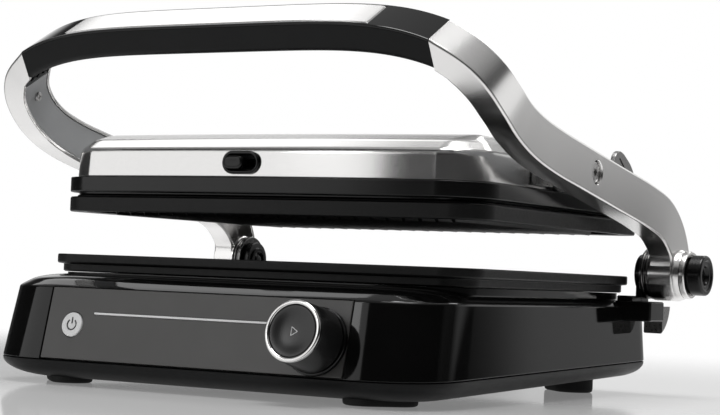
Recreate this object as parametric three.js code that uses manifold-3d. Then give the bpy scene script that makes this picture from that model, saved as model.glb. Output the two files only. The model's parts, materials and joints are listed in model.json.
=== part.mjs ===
// Contact grill (panini press) with a floating upper plate, built in millimetres with +Z up.
// X runs across the machine, Y from the control panel to the hinge, Z up from the feet.
// Places are measured from the machine's middle plane and from the front edge of the lower plate.
// The finished model is then moved, so that its origin is under the centre of its bounding box,
// on the surface it stands on. The hinge has a release cap on its right side only.

import * as THREE from 'three';
import { mergeVertices } from 'three/addons/utils/BufferGeometryUtils.js';
import Module from 'manifold-3d';

const wasm = await Module();
wasm.setup();

// ---------------------------------------------------------------- driving dimensions

const GAP = 0.3;                    // clearance between touching pieces
const ORIGIN_X = 8.65;              // from the middle plane of the machine to the origin
const ORIGIN_Y = 99.92;             // from the lower plate's front edge back to the origin

// cooking plates
const PLATE = { width: 300, depth: 250, corner: 22, bow: 7, thick: 11, rim: 6, step: 3.5 };
const LOWER_TOP = 78;               // top of the lower plate
const UPPER_BOTTOM = 105.2;         // underside of the upper plate at rest
const UPPER_SHIFT = 10;             // the raised upper plate sits this much further back
const RIDGE = { pitch: 11, width: 5, height: 2.4, margin: 24 };
const WELL = { depth: 3.4, margin: 9 };
const ELEMENT = { side: 96, front: 52, back: 190, bend: 34, radius: 3.2 };

// base
const BASE = { half: 154, rear: 269, frontRadius: 40, rearRadius: 16, floor: 2.8, seam: 14.6 };
const REAR_RISE = 7.8;              // the casing's floor and seam climb this much towards the back
const DECK_EDGE = 59.2;             // top edge of the base all round
const DECK_TOP = 66.2;              // raised middle of the deck, under the plate
const CORD = { x: -92, z: 34 };     // where the mains lead leaves the back of the base
const LEAN = 0.236;                 // slope of the control panel, radians back from upright
const PANEL_FOOT_Y = -55.3;         // panel's lower edge, at the seam
const WALL = 2.6;
const FOOT = { half: 21.5, radius: 13, x: 109, front: -20, rear: 236, sink: 1.2 };
const GLAND = { flange: 11, stem: 7, seat: 6.6, bore: 4, length: 12 };

// control panel and its pieces, at distances from the panel's lower edge along its slope
const PANEL = { half: 103.8, thick: 3, height: 44.4 };
const KNOB = { x: 85, up: 20.2, flange: 19.4, skirt: 18, ring: 18.6, cap: 15.3, reach: 27.5 };
const POWER = { x: -84.6, up: 21.6, radius: 7.8, proud: 1.6 };
const LINE = { left: -70, right: 63.4, up: 29.2, width: 1.2, proud: 0.35 };
const TRAVEL = { power: 1.2, start: 1.5, release: 3, latch: 8 };
const SHAFT = { radius: 3.9, hole: 4.3 };  // of the dial, behind the panel

// hinge, on an axis along X
const HINGE = { y: 250.4, z: 80.3, pin: 5, cheek: 12.7, flange: 16.7, lug: 17.4 };
const STACK = { cheekIn: 152.4, cheekOut: 156.8, flangeOut: 162.6, collar: 188, cap: 198.2 };
const OUTRIGGER = { inner: 146, outer: 171, front: 222, back: 246, bottom: 49, top: 62 };
const SADDLE = { y: 238, z: 62, radius: 22.4 };
const POST = { half: 9, shelf: 16, shelfTop: 65.4, foot: 52, back: 8 };  // carries the hinge cheek
const COLLAR_RADIUS = 15.6;
const CAP_RADIUS = 13.2;
const CAP_WELL = 12;                // depth of the hole that the release cap sinks into

// upper unit
const COVER = { half: 146.5, bottom: 127.2, face: 144.4, bevel: 151, top: 156.4, wall: 2 };
const BEZEL = { half: 150.6, wall: 16 };
const PIVOT = { y: 116.8, z: 139, pin: 4, head: 6.9, boss: 12 };
const BRACKET = { thick: 3.2, boss: 157.9 };
const LATCH = { x: -5, z: 136, half: 13, radius: 6.9, proud: 1.4, rim: 1.6 };
const THUMB = { half: 6.9, radius: 4.1, proud: 3.4 };  // the latch's sliding piece
const STEM = { half: 3 };                              // behind it, through the cover

// arms and grip: a flat bar section, bent round the corners
const BAR = { width: 28.9, thick: 18.4, armThick: 15.6, wall: 2.4, chamfer: 1.4 };
const GRIP = { half: 141.3, y: -30.4, z: 210.5, tilt: Math.PI / 6, drop: 13, order: 5 };
const COVER_SCREW = { at: 0.17, radius: 2.9 };  // a share of the arm's length from the grip
const INSET = { left: -107, right: 105, width: 22, depth: 0.8, proud: 0.25 };

// ---------------------------------------------------------------- materials

function finish(color, roughness, metalness) {
  return new THREE.MeshStandardMaterial({ color, roughness, metalness });
}

const GLOSS_BLACK = finish(0x0b0b0c, 0.16, 0);
const SATIN_BLACK = finish(0x141415, 0.45, 0);
const MATT_BLACK = finish(0x1a1a1b, 0.7, 0);
const PANEL_GREY = finish(0x3a3836, 0.42, 0.2);
const COATING = finish(0x202122, 0.6, 0.1);
const BRUSHED = finish(0xc9c8c4, 0.34, 1);
const POLISHED = finish(0xd6d6d4, 0.16, 1);
const CHROME = finish(0xe4e4e4, 0.06, 1);
const DARK_METAL = finish(0x2b2c2e, 0.2, 0.9);
const MID_GREY = finish(0x6b6c6d, 0.5, 0.1);
const SILVER_BUTTON = finish(0xb9babb, 0.35, 0.4);
const RUBBER = finish(0x101010, 0.9, 0);
const TIN = finish(0xa9abad, 0.4, 0.9);
const SHEATH = finish(0x5c5a57, 0.5, 0.8);
const BOARD = finish(0x1f5a37, 0.6, 0);
const SCREW_STEEL = finish(0x8f9193, 0.35, 0.9);

// ---------------------------------------------------------------- solid helpers

const model = new THREE.Group();

function add(name, geometry, material) {
  const mesh = new THREE.Mesh(geometry, material);
  mesh.name = name;
  mesh.position.set(-ORIGIN_X, -ORIGIN_Y, 0);
  model.add(mesh);
}

function toSolid(geometry) {
  const bare = geometry.index ? geometry.clone() : geometry;
  bare.deleteAttribute('normal');
  bare.deleteAttribute('uv');
  const merged = mergeVertices(bare, 1e-4);
  return new wasm.Manifold(new wasm.Mesh({
    numProp: 3,
    vertProperties: new Float32Array(merged.attributes.position.array),
    triVerts: new Uint32Array(merged.index.array),
  }));
}

function toGeometry(solid) {
  const mesh = solid.getMesh();
  const geometry = new THREE.BufferGeometry();
  geometry.setAttribute('position', new THREE.BufferAttribute(mesh.vertProperties, 3));
  geometry.setIndex(new THREE.BufferAttribute(mesh.triVerts, 1));
  geometry.computeVertexNormals();
  return geometry;
}

function cut(geometry, ...tools) {
  const left = tools.reduce((solid, tool) => solid.subtract(toSolid(tool)), toSolid(geometry));
  return toGeometry(left);
}

function join(...pieces) {
  const [first, ...others] = pieces.map((piece) => toSolid(piece));
  return toGeometry(others.reduce((sum, piece) => sum.add(piece), first));
}

function block(x0, x1, y0, y1, z0, z1) {
  const geometry = new THREE.BoxGeometry(x1 - x0, y1 - y0, z1 - z0);
  return geometry.translate((x0 + x1) / 2, (y0 + y1) / 2, (z0 + z1) / 2);
}

// A turned piece: points are [radius, height] and start and end on the axis. The axis is +Z here.
function turned(points, segments = 28) {
  return new THREE.LatheGeometry(points.map(([r, h]) => new THREE.Vector2(r, h)), segments)
    .rotateX(Math.PI / 2);
}

// A plain rod along X between two places, centred on (y, z).
function rodX(x0, x1, y, z, radius, segments = 28) {
  return turned([[0, 0], [radius, 0], [radius, x1 - x0], [0, x1 - x0]], segments)
    .rotateY(Math.PI / 2)
    .translate(x0, y, z);
}

// A plain upright rod.
function rodZ(x, y, z0, z1, radius, segments = 28) {
  return turned([[0, 0], [radius, 0], [radius, z1 - z0], [0, z1 - z0]], segments).translate(x, y, z0);
}

// An oval with straight sides, centred on the origin: half its length, and its end radius.
function ovalShape(half, radius) {
  const shape = new THREE.Shape();
  shape.absarc(half - radius, 0, radius, -Math.PI / 2, Math.PI / 2);
  shape.absarc(-half + radius, 0, radius, Math.PI / 2, 1.5 * Math.PI);
  return shape;
}

// The same piece on the other side of the machine, with its faces still pointing out.
function mirrored(geometry) {
  const copy = (geometry.index ? geometry.clone() : mergeVertices(geometry)).scale(-1, 1, 1);
  const index = copy.index.array;
  for (let i = 0; i < index.length; i += 3) {
    [index[i], index[i + 1]] = [index[i + 1], index[i]];
  }
  copy.deleteAttribute('normal');
  return copy;
}

function addPair(name, geometry, material) {
  add(`${name}_right`, geometry, material);
  add(`${name}_left`, mirrored(geometry), material);
}

// A closed body through rings of points that match one to one. The cap outline gives the flat
// shape of the first and last ring, so that a hollow section is closed correctly.
function loft(rings, capOutline) {
  const count = rings[0].length;
  const positions = rings.flat().flatMap((point) => [point.x, point.y, point.z]);
  const index = [];
  for (let ring = 0; ring + 1 < rings.length; ring += 1) {
    for (let i = 0; i < count; i += 1) {
      const a = ring * count + i;
      const b = ring * count + (i + 1) % count;
      index.push(a, b, b + count, a, b + count, a + count);
    }
  }
  const last = (rings.length - 1) * count;
  THREE.ShapeUtils.triangulateShape(capOutline, []).forEach(([a, b, c]) => {
    index.push(a, c, b, last + a, last + b, last + c);
  });
  const geometry = new THREE.BufferGeometry();
  geometry.setAttribute('position', new THREE.Float32BufferAttribute(positions, 3));
  geometry.setIndex(index);
  geometry.computeVertexNormals();
  return geometry;
}

// Rounded rectangle seen from above, anticlockwise from the rear right corner, with a front edge
// that may bow forward. Every outline has the same number of points, so outlines can be lofted.
function outline({ half, front, rear, frontRadius, rearRadius, bow = 0 }) {
  const points = [];
  const corner = (cx, cy, radius, start, steps) => {
    for (let i = 0; i <= steps; i += 1) {
      const angle = start + (i / steps) * Math.PI / 2;
      points.push(new THREE.Vector2(cx + radius * Math.cos(angle), cy + radius * Math.sin(angle)));
    }
  };
  corner(half - rearRadius, rear - rearRadius, rearRadius, 0, 4);
  corner(-half + rearRadius, rear - rearRadius, rearRadius, Math.PI / 2, 4);
  corner(-half + frontRadius, front + frontRadius, frontRadius, Math.PI, 6);
  const flat = half - frontRadius;
  const bowSteps = 8;
  for (let i = 1; i < bowSteps; i += 1) {
    const t = -1 + 2 * i / bowSteps;
    points.push(new THREE.Vector2(t * flat, front - bow * (1 - t * t)));
  }
  corner(half - frontRadius, front + frontRadius, frontRadius, 1.5 * Math.PI, 6);
  return points;
}

// A body from outlines at different heights, lowest first. A level may climb towards the back.
function stack(levels) {
  const outlines = levels.map((level) => outline(level));
  const rings = levels.map((level, i) => outlines[i].map((p) => {
    const back = (p.y - level.front) / (level.rear - level.front);
    return new THREE.Vector3(p.x, p.y, level.z + (level.rise ?? 0) * Math.max(back, 0));
  }));
  return loft(rings, outlines[0]);
}

function inset(level, by, z, sideBy = by) {
  return {
    ...level,
    half: level.half - sideBy,
    front: level.front + by,
    rear: level.rear - sideBy,
    frontRadius: Math.max(level.frontRadius - by * 0.7, 2),
    rearRadius: Math.max(level.rearRadius - by * 0.7, 2),
    z,
  };
}

// ---------------------------------------------------------------- base

// Outline of the base at a height: the front slopes back with the panel, the sides draw in a little.
function baseLevel(z, by = 0, rise = 0) {
  const above = Math.max(z - BASE.seam, 0);
  const level = {
    half: BASE.half - above * 0.055,
    front: PANEL_FOOT_Y + above * Math.tan(LEAN),
    rear: BASE.rear - above * 0.03,
    frontRadius: BASE.frontRadius,
    rearRadius: BASE.rearRadius,
    rise,
  };
  return inset(level, by, z);
}

// How far the casing's floor has climbed at a distance from the front.
function floorRise(y) {
  return REAR_RISE * (y - PANEL_FOOT_Y) / (BASE.rear - PANEL_FOOT_Y);
}

// The feet: each one lies across its corner of the base, and is let into the casing's floor.
const FEET = [];
for (const [side, across] of [['left', -1], ['right', 1]]) {
  for (const [end, along, y] of [['front', 1, FOOT.front], ['rear', -1, FOOT.rear]]) {
    FEET.push({
      name: `foot_${end}_${side}`,
      x: across * FOOT.x,
      y,
      turn: across * along * Math.PI / 4,
      top: BASE.floor + FOOT.sink + floorRise(y) - GAP,
    });
  }
}

// A foot between two heights, larger all round by a margin, with its lowest edge cut back.
function footBody({ x, y, turn }, margin, low, high) {
  const edge = 1.5;
  const full = ovalShape(FOOT.half + margin, FOOT.radius + margin).getPoints(5);
  const small = ovalShape(FOOT.half + margin - edge, FOOT.radius + margin - edge).getPoints(5);
  const levels = [[small, low], [full, low + edge], [full, high]];
  const rings = levels.map(([points, z]) => points.map((p) => new THREE.Vector3(p.x, p.y, z)));
  return loft(rings, full).rotateZ(turn).translate(x, y, 0);
}

// Places a piece on the control panel: x along it, up along its slope, out along its normal.
function onPanel(geometry, x, up) {
  return geometry
    .rotateX(Math.PI / 2 - LEAN)
    .translate(
      x,
      PANEL_FOOT_Y + up * Math.sin(LEAN),
      BASE.seam + up * Math.cos(LEAN),
    );
}

// A slab on the panel plane between two heights out of it.
function panelSlab(half, low, high, inner, outer) {
  const slab = new THREE.BoxGeometry(2 * half, high - low, outer - inner);
  return onPanel(slab.translate(0, (low + high) / 2, (inner + outer) / 2), 0, 0);
}

function buildBase() {
  const pan = stack([
    baseLevel(BASE.floor, 15, REAR_RISE),
    baseLevel(BASE.floor + 2, 8.5, REAR_RISE),
    baseLevel(BASE.floor + 5, 3.2, REAR_RISE),
    baseLevel(BASE.floor + 8.6, 0.6, REAR_RISE),
    baseLevel(BASE.seam - GAP, 0, REAR_RISE),
  ]);
  const panHollow = stack([
    baseLevel(BASE.floor + WALL, 15, REAR_RISE),
    baseLevel(BASE.floor + WALL + 5, 6.5, REAR_RISE),
    baseLevel(BASE.seam + 1, 4, REAR_RISE),
  ]);
  const seats = FEET.map((foot) => footBody(foot, GAP, -1, foot.top + GAP));
  add('base_pan', cut(pan, panHollow, ...seats), MATT_BLACK);

  const housing = stack([
    baseLevel(BASE.seam, 0, REAR_RISE),
    baseLevel(DECK_EDGE - 2.6),
    baseLevel(DECK_EDGE - 0.8, 0.7),
    baseLevel(DECK_EDGE, 2.4),
    baseLevel(DECK_EDGE + 3.4, 6.5),
    baseLevel(DECK_TOP - 1.4, 14),
    baseLevel(DECK_TOP, 28),
  ]);
  const housingHollow = stack([
    baseLevel(BASE.seam - 1, 4, REAR_RISE),
    baseLevel(DECK_EDGE - WALL - 1.5, 4),
    baseLevel(DECK_TOP - WALL, 32),
  ]);
  const panelRecess = panelSlab(
    PANEL.half + GAP + 0.2,
    -2,
    PANEL.height + GAP,
    -PANEL.thick - GAP,
    10,
  );
  const panelWindow = panelSlab(PANEL.half - 8, 5, PANEL.height - 7, -30, 0);
  const trayMouth = block(-118, 118, 24, 226, DECK_TOP - 12, DECK_TOP + 2);
  const cordHole = turned([[0, -30], [6.9, -30], [6.9, 30], [0, 30]], 24)
    .rotateX(-Math.PI / 2)
    .translate(CORD.x, BASE.rear, CORD.z);
  const pocket = outriggerBlock(GAP, 8);
  const shell = cut(
    housing,
    housingHollow,
    panelRecess,
    panelWindow,
    trayMouth,
    cordHole,
    pocket,
    mirrored(pocket),
  );
  add('base_housing', shell, GLOSS_BLACK);

  FEET.forEach((foot) => add(foot.name, footBody(foot, 0, 0, foot.top), RUBBER));

  const { flange, stem, seat, bore, length } = GLAND;
  const inlet = cut(
    join(
      turned([[0, 0], [flange, 0], [flange, 3], [stem + 1, 4], [stem, length], [0, length]], 24),
      turned([[0, -6], [seat, -6], [seat, 1], [0, 1]], 24),
    ),
    turned([[0, -8], [bore, -8], [bore, length + 2], [0, length + 2]], 20),
  );
  add('cord_gland', inlet.rotateX(-Math.PI / 2).translate(CORD.x, BASE.rear + GAP, CORD.z), MATT_BLACK);
}

// The block at each rear corner of the base that carries the hinge, larger all round by a margin.
function outriggerBlock(margin = 0, above = 0) {
  return block(
    OUTRIGGER.inner - margin,
    OUTRIGGER.outer + margin,
    OUTRIGGER.front - margin,
    OUTRIGGER.back + margin,
    OUTRIGGER.bottom - margin,
    OUTRIGGER.top + above,
  );
}

// ---------------------------------------------------------------- control panel

function buildPanel() {
  const knobHole = onPanel(
    turned([[0, -9], [SHAFT.hole, -9], [SHAFT.hole, 9], [0, 9]], 20),
    KNOB.x,
    KNOB.up,
  );
  const buttonHole = onPanel(
    turned([[0, -9], [POWER.radius + GAP, -9], [POWER.radius + GAP, 9], [0, 9]]),
    POWER.x,
    POWER.up,
  );
  const groove = onPanel(
    new THREE.BoxGeometry(LINE.right - LINE.left + 0.6, LINE.width + 0.6, 2)
      .translate((LINE.left + LINE.right) / 2, LINE.up, 0),
    0,
    0,
  );
  const panel = panelSlab(PANEL.half, 1.1, PANEL.height - 0.2, -PANEL.thick, 0);
  add('control_panel', cut(panel, knobHole, buttonHole, groove), PANEL_GREY);

  const strip = new THREE.BoxGeometry(LINE.right - LINE.left, LINE.width, 0.7 + LINE.proud);
  strip.translate((LINE.left + LINE.right) / 2, LINE.up, (LINE.proud - 0.7) / 2);
  add('panel_line', onPanel(strip, 0, 0), SILVER_BUTTON);

  const button = turned([
    [0, -PANEL.thick - 1],
    [POWER.radius, -PANEL.thick - 1],
    [POWER.radius, POWER.proud - 0.6],
    [POWER.radius - 0.6, POWER.proud],
    [0, POWER.proud - 0.3],
  ]);
  add('power_button', onPanel(button, POWER.x, POWER.up), SILVER_BUTTON);

  const reach = KNOB.reach;
  const flange = cut(
    turned([[0, GAP], [KNOB.flange, GAP], [KNOB.flange, 2], [KNOB.flange - 1, 3], [0, 3]], 36),
    turned([[0, -1], [SHAFT.hole, -1], [SHAFT.hole, 9], [0, 9]], 20),
  );
  add('knob_flange', onPanel(flange, KNOB.x, KNOB.up), GLOSS_BLACK);

  const shaftEnd = -PANEL.thick - 9;
  const skirt = cut(
    join(
      turned([
        [0, 3.4],
        [KNOB.skirt, 3.4],
        [KNOB.skirt, reach - 3.4],
        [0, reach - 3.4],
      ], 36),
      turned([[0, shaftEnd], [SHAFT.radius, shaftEnd], [SHAFT.radius, 5], [0, 5]], 20),
    ),
    turned([[0, reach - 7], [KNOB.cap + GAP, reach - 7], [KNOB.cap + GAP, reach], [0, reach]], 36),
  );
  add('knob_skirt', onPanel(skirt, KNOB.x, KNOB.up), SATIN_BLACK);

  const ring = turned([
    [KNOB.cap + GAP, reach - 3.1],
    [KNOB.ring, reach - 3.1],
    [KNOB.ring, reach - 0.8],
    [KNOB.ring - 0.9, reach],
    [KNOB.cap + 0.9, reach],
    [KNOB.cap + GAP, reach - 0.6],
    [KNOB.cap + GAP, reach - 3.1],
  ], 36);
  add('knob_ring', onPanel(ring, KNOB.x, KNOB.up), CHROME);

  const capSink = reach - 7 + GAP + TRAVEL.start;
  const cap = turned([
    [0, capSink],
    [KNOB.cap, capSink],
    [KNOB.cap, reach - 0.9],
    [KNOB.cap - 1.2, reach - 0.4],
    [KNOB.cap * 0.55, reach - 1.5],
    [0, reach - 1.9],
  ], 36);
  add('start_button', onPanel(cap, KNOB.x, KNOB.up), MATT_BLACK);

  const encoderBack = -PANEL.thick - 13;
  const encoder = cut(
    new THREE.BoxGeometry(14, 14, 10).translate(0, 0, encoderBack + 5),
    turned([[0, encoderBack + 2], [SHAFT.hole, encoderBack + 2], [SHAFT.hole, 9], [0, 9]], 20),
  );
  add('rotary_encoder', onPanel(encoder, KNOB.x, KNOB.up), TIN);

  const switchBody = new THREE.BoxGeometry(12, 12, 6).translate(0, 0, -PANEL.thick - TRAVEL.power - 5);
  add('power_switch', onPanel(switchBody, POWER.x, POWER.up), SATIN_BLACK);

  const boardAt = encoderBack - GAP;
  const board = new THREE.BoxGeometry(188, 26, 1.6).translate(0, PANEL.height / 2, boardAt - 0.8);
  add('control_board', onPanel(board, 0, 0), BOARD);
}

// ---------------------------------------------------------------- plates and heating

function plateLevel(shift, by, z) {
  const level = {
    half: PLATE.width / 2,
    front: shift,
    rear: PLATE.depth + shift,
    frontRadius: PLATE.corner,
    rearRadius: PLATE.corner,
    bow: PLATE.bow,
  };
  return inset(level, by, z);
}

// A ridge from front to back with sloping sides, standing on a face at z and pointing up or down.
function ridge(x, y0, y1, z, up) {
  const half = RIDGE.width / 2;
  const shape = new THREE.Shape([
    new THREE.Vector2(-half, -0.6 * up),
    new THREE.Vector2(half, -0.6 * up),
    new THREE.Vector2(half * 0.45, RIDGE.height * up),
    new THREE.Vector2(-half * 0.45, RIDGE.height * up),
  ]);
  return new THREE.ExtrudeGeometry(shape, { depth: y1 - y0, bevelEnabled: false })
    .rotateX(Math.PI / 2)
    .translate(x, y1, z);
}

function ridges(shift, z, up) {
  const list = [];
  const reach = PLATE.width / 2 - RIDGE.margin;
  const count = Math.floor(reach / RIDGE.pitch);
  for (let i = -count; i <= count; i += 1) {
    list.push(ridge(i * RIDGE.pitch, shift + RIDGE.margin, shift + PLATE.depth - RIDGE.margin, z, up));
  }
  return list;
}

// A tubular element, bent to a U that opens to the back.
function heatingElement(shift, z) {
  const { side, bend, radius } = ELEMENT;
  const front = shift + ELEMENT.front;
  const back = shift + ELEMENT.back;
  const at = (x, y) => new THREE.Vector3(x, y, 0);
  const path = new THREE.CurvePath();
  const line = (a, b) => path.add(new THREE.LineCurve3(a, b));
  const curve = (a, corner, b) => path.add(new THREE.QuadraticBezierCurve3(a, corner, b));
  line(at(-side, back), at(-side, front + bend));
  curve(at(-side, front + bend), at(-side, front), at(-side + bend, front));
  line(at(-side + bend, front), at(side - bend, front));
  curve(at(side - bend, front), at(side, front), at(side, front + bend));
  line(at(side, front + bend), at(side, back));
  const section = new THREE.Shape();
  section.absarc(0, 0, radius, 0, Math.PI * 2);
  return new THREE.ExtrudeGeometry(section, { extrudePath: path, steps: 26, curveSegments: 4 })
    .translate(0, 0, z);
}

function buildLowerPlate() {
  const bottom = LOWER_TOP - PLATE.thick;
  const body = stack([
    plateLevel(0, PLATE.step, bottom),
    plateLevel(0, PLATE.step, LOWER_TOP - PLATE.rim),
    plateLevel(0, 0, LOWER_TOP - PLATE.rim + 0.6),
    plateLevel(0, 0, LOWER_TOP - 1),
    plateLevel(0, 1, LOWER_TOP),
  ]);
  const floor = LOWER_TOP - WELL.depth;
  const well = stack([plateLevel(0, WELL.margin + 2, floor), plateLevel(0, WELL.margin, LOWER_TOP + 1)]);
  add('lower_plate', join(cut(body, well), ...ridges(0, floor, 1)), COATING);

  const trayTop = bottom - GAP;
  const tray = cut(
    block(-117, 117, 25, 225, DECK_TOP - 22, trayTop),
    block(-115.6, 115.6, 26.4, 223.6, DECK_TOP - 20.6, trayTop + 1),
  );
  add('lower_reflector', tray, TIN);
  add('lower_heating_element', heatingElement(0, trayTop - 5), SHEATH);
  const thermostat = rodZ(0, 150, DECK_TOP - 20, trayTop - 6, 9, 24);
  add('lower_thermostat', thermostat, SHEATH);
}

// ---------------------------------------------------------------- upper unit

function coverLevel(z, by, sideBy = by) {
  const level = {
    half: COVER.half,
    front: UPPER_SHIFT - 0.5,
    rear: UPPER_SHIFT + PLATE.depth - 4,
    frontRadius: 30,
    rearRadius: 22,
    bow: PLATE.bow,
  };
  return inset(level, by, z, sideBy);
}

function buildUpperUnit() {
  const plateTop = UPPER_BOTTOM + PLATE.thick;
  const plate = stack([
    plateLevel(UPPER_SHIFT, 1, UPPER_BOTTOM),
    plateLevel(UPPER_SHIFT, 0, UPPER_BOTTOM + 1),
    plateLevel(UPPER_SHIFT, 0, plateTop - 1.6),
    plateLevel(UPPER_SHIFT, 2, plateTop),
  ]);
  const well = stack([
    plateLevel(UPPER_SHIFT, WELL.margin, UPPER_BOTTOM - 1),
    plateLevel(UPPER_SHIFT, WELL.margin + 2, UPPER_BOTTOM + WELL.depth),
  ]);
  const pattern = ridges(UPPER_SHIFT, UPPER_BOTTOM + WELL.depth, -1);
  add('upper_plate', join(cut(plate, well), ...pattern), COATING);

  const bezelBottom = plateTop + GAP;
  const bezelTop = COVER.bottom - GAP;
  const bezel = stack([
    coverLevel(bezelBottom, -BEZEL.half + COVER.half + 5),
    coverLevel(bezelBottom + 3, COVER.half - BEZEL.half),
    coverLevel(bezelTop - 1.2, COVER.half - BEZEL.half),
    coverLevel(bezelTop, COVER.half - BEZEL.half + 1),
  ]);
  const bezelMouth = stack([
    coverLevel(bezelBottom - 1, BEZEL.wall),
    coverLevel(bezelTop + 1, BEZEL.wall),
  ]);
  add('upper_bezel', cut(bezel, bezelMouth), SATIN_BLACK);

  const cover = stack([
    coverLevel(COVER.bottom, 0),
    coverLevel(COVER.face - 1, 0.8),
    coverLevel(COVER.face, 2),
    coverLevel(COVER.bevel, 13, 9),
    coverLevel(COVER.top - 1.6, 34, 16),
    coverLevel(COVER.top, 62, 30),
  ]);
  const hollow = stack([
    coverLevel(COVER.bottom - 1, COVER.wall),
    coverLevel(COVER.face - 1.4, COVER.wall + 0.8),
    coverLevel(COVER.bevel - COVER.wall, 14.4, 11),
    coverLevel(COVER.top - COVER.wall - 1.6, 40, 20),
  ]);
  const latchSlot = block(
    LATCH.x - LATCH.half + 2.4,
    LATCH.x + LATCH.half - 2.4,
    -2,
    14,
    LATCH.z - 2.6,
    LATCH.z + 2.6,
  );
  add('upper_cover', cut(cover, hollow, latchSlot), BRUSHED);

  const trayLow = plateTop + 4;
  const tray = cut(
    block(-122, 122, UPPER_SHIFT + 26, UPPER_SHIFT + 222, trayLow, trayLow + 20),
    block(-120.6, 120.6, UPPER_SHIFT + 27.4, UPPER_SHIFT + 220.6, trayLow - 1, trayLow + 18.6),
  );
  add('upper_reflector', tray, TIN);
  add('upper_heating_element', heatingElement(UPPER_SHIFT, plateTop + 5), SHEATH);
  const thermostat = rodZ(0, UPPER_SHIFT + 150, plateTop + GAP, plateTop + 12, 9, 24);
  add('upper_thermostat', thermostat, SHEATH);

  buildSideBrackets();
}

// The plate on each side of the upper unit that carries its pivot, with an ear at the back.
function buildSideBrackets() {
  const inner = COVER.half + GAP;
  const profile = new THREE.Shape(vec([
    [PIVOT.y - 32, COVER.bottom + 2],
    [236, COVER.bottom + 2],
    [238, 146],
    [231, 152],
    [219, 158],
    [212, 159.5],
    [206, 157],
    [201, 147],
    [PIVOT.y + 26, 145],
    [PIVOT.y - 24, 145],
    [PIVOT.y - 32, 138],
  ]));
  const slit = new THREE.Path(vec([[211, 154], [213, 154.4], [222, 148.4], [220, 147.6]]));
  profile.holes.push(slit);
  const side = new THREE.ExtrudeGeometry(profile, { depth: BRACKET.thick, bevelEnabled: false })
    .rotateX(Math.PI / 2)
    .rotateZ(Math.PI / 2)
    .translate(inner, 0, 0);
  const bracket = cut(
    join(side, rodX(inner + 1, BRACKET.boss, PIVOT.y, PIVOT.z, PIVOT.boss)),
    rodX(140, 160, PIVOT.y, PIVOT.z, PIVOT.pin + 0.2, 24),
  );
  addPair('side_bracket', bracket, MID_GREY);
  const outerFace = armStation(PIVOT_T).outer;
  const screw = join(
    rodX(inner + 0.6, outerFace - 4, PIVOT.y, PIVOT.z, PIVOT.pin, 24),
    rodX(outerFace - 4.4, outerFace - 1.6, PIVOT.y, PIVOT.z, PIVOT.head, 24),
  );
  addPair('pivot_screw', screw, SCREW_STEEL);
}

function buildLatch() {
  const face = UPPER_SHIFT - 0.5 - PLATE.bow;
  const oval = (half, radius, y0, y1) => {
    const options = { depth: y1 - y0, bevelEnabled: false, curveSegments: 8 };
    return new THREE.ExtrudeGeometry(ovalShape(half, radius), options)
      .rotateX(Math.PI / 2)
      .translate(LATCH.x, y1, LATCH.z);
  };
  const escutcheon = cut(
    oval(LATCH.half, LATCH.radius, face - LATCH.proud, face - GAP),
    oval(LATCH.half - LATCH.rim, THUMB.radius + 0.4, face - 6, face + 6),
  );
  add('latch_escutcheon', escutcheon, GLOSS_BLACK);
  const back = TRAVEL.latch / 2 + 0.2;
  const thumb = join(
    oval(THUMB.half, THUMB.radius, face - THUMB.proud, face - 0.4).translate(-back, 0, 0),
    block(
      LATCH.x - back - STEM.half,
      LATCH.x - back + STEM.half,
      face - 0.6,
      face + 9,
      LATCH.z - STEM.half * 0.7,
      LATCH.z + STEM.half * 0.7,
    ),
  );
  add('latch_slider', thumb, SATIN_BLACK);
}

// ---------------------------------------------------------------- grip

// Where a point of the bar's flat section lands, from the bar's centre, its width direction and
// its outward normal. In the section, u runs across the width and v out of the broad outer face.
function placeSection(section, centre, width, normal) {
  return section.map((p) => centre.clone().addScaledVector(width, p.x).addScaledVector(normal, p.y));
}

// The grip's sections all stand at right angles to X, so that its ends are flat.
function gripStation(x) {
  const drop = GRIP.drop * (Math.abs(x) / GRIP.half) ** GRIP.order;
  const down = new THREE.Vector3(0, Math.sin(GRIP.tilt), -Math.cos(GRIP.tilt));
  return {
    centre: new THREE.Vector3(x, GRIP.y, GRIP.z).addScaledVector(down, drop),
    width: new THREE.Vector3(0, Math.cos(GRIP.tilt), Math.sin(GRIP.tilt)),
    normal: down.negate(),
  };
}

// A bar along the grip between two x places.
function gripBar(section, from, to, steps) {
  const rings = [];
  for (let i = 0; i <= steps; i += 1) {
    const { centre, width, normal } = gripStation(from + (to - from) * i / steps);
    rings.push(placeSection(section, centre, width, normal));
  }
  return loft(rings, section);
}

function vec(points) {
  return points.map(([x, y]) => new THREE.Vector2(x, y));
}

function buildGrip() {
  const w = BAR.width / 2;
  const t = BAR.thick / 2;
  const c = BAR.chamfer;
  const bandLow = t - 4.2;
  const body = vec([
    [-w, bandLow - GAP],
    [-w, -t + 4],
    [-w + 1.2, -t + 1.2],
    [-w + 4, -t],
    [w - 4, -t],
    [w - 1.2, -t + 1.2],
    [w, -t + 4],
    [w, bandLow - GAP],
  ]);
  const end = GRIP.half - GAP;
  add('grip_body', gripBar(body, -end, end, 24), MATT_BLACK);
  const band = vec([[-w, bandLow], [w, bandLow], [w, t - c], [w - c, t], [-w + c, t], [-w, t - c]]);
  const half = INSET.width / 2;
  const deep = t - INSET.depth;
  const recess = vec([
    [-half - GAP, deep - GAP],
    [half + GAP, deep - GAP],
    [half + GAP, t + 3],
    [-half - GAP, t + 3],
  ]);
  const sink = gripBar(recess, INSET.left - GAP, INSET.right + GAP, 14);
  add('grip_band', cut(gripBar(band, -end, end, 24), sink), GLOSS_BLACK);
  const plate = vec([[-half, deep], [half, deep], [half, t + INSET.proud], [-half, t + INSET.proud]]);
  add('grip_inset', gripBar(plate, INSET.left, INSET.right, 14), BRUSHED);
}

// ---------------------------------------------------------------- arms

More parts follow.
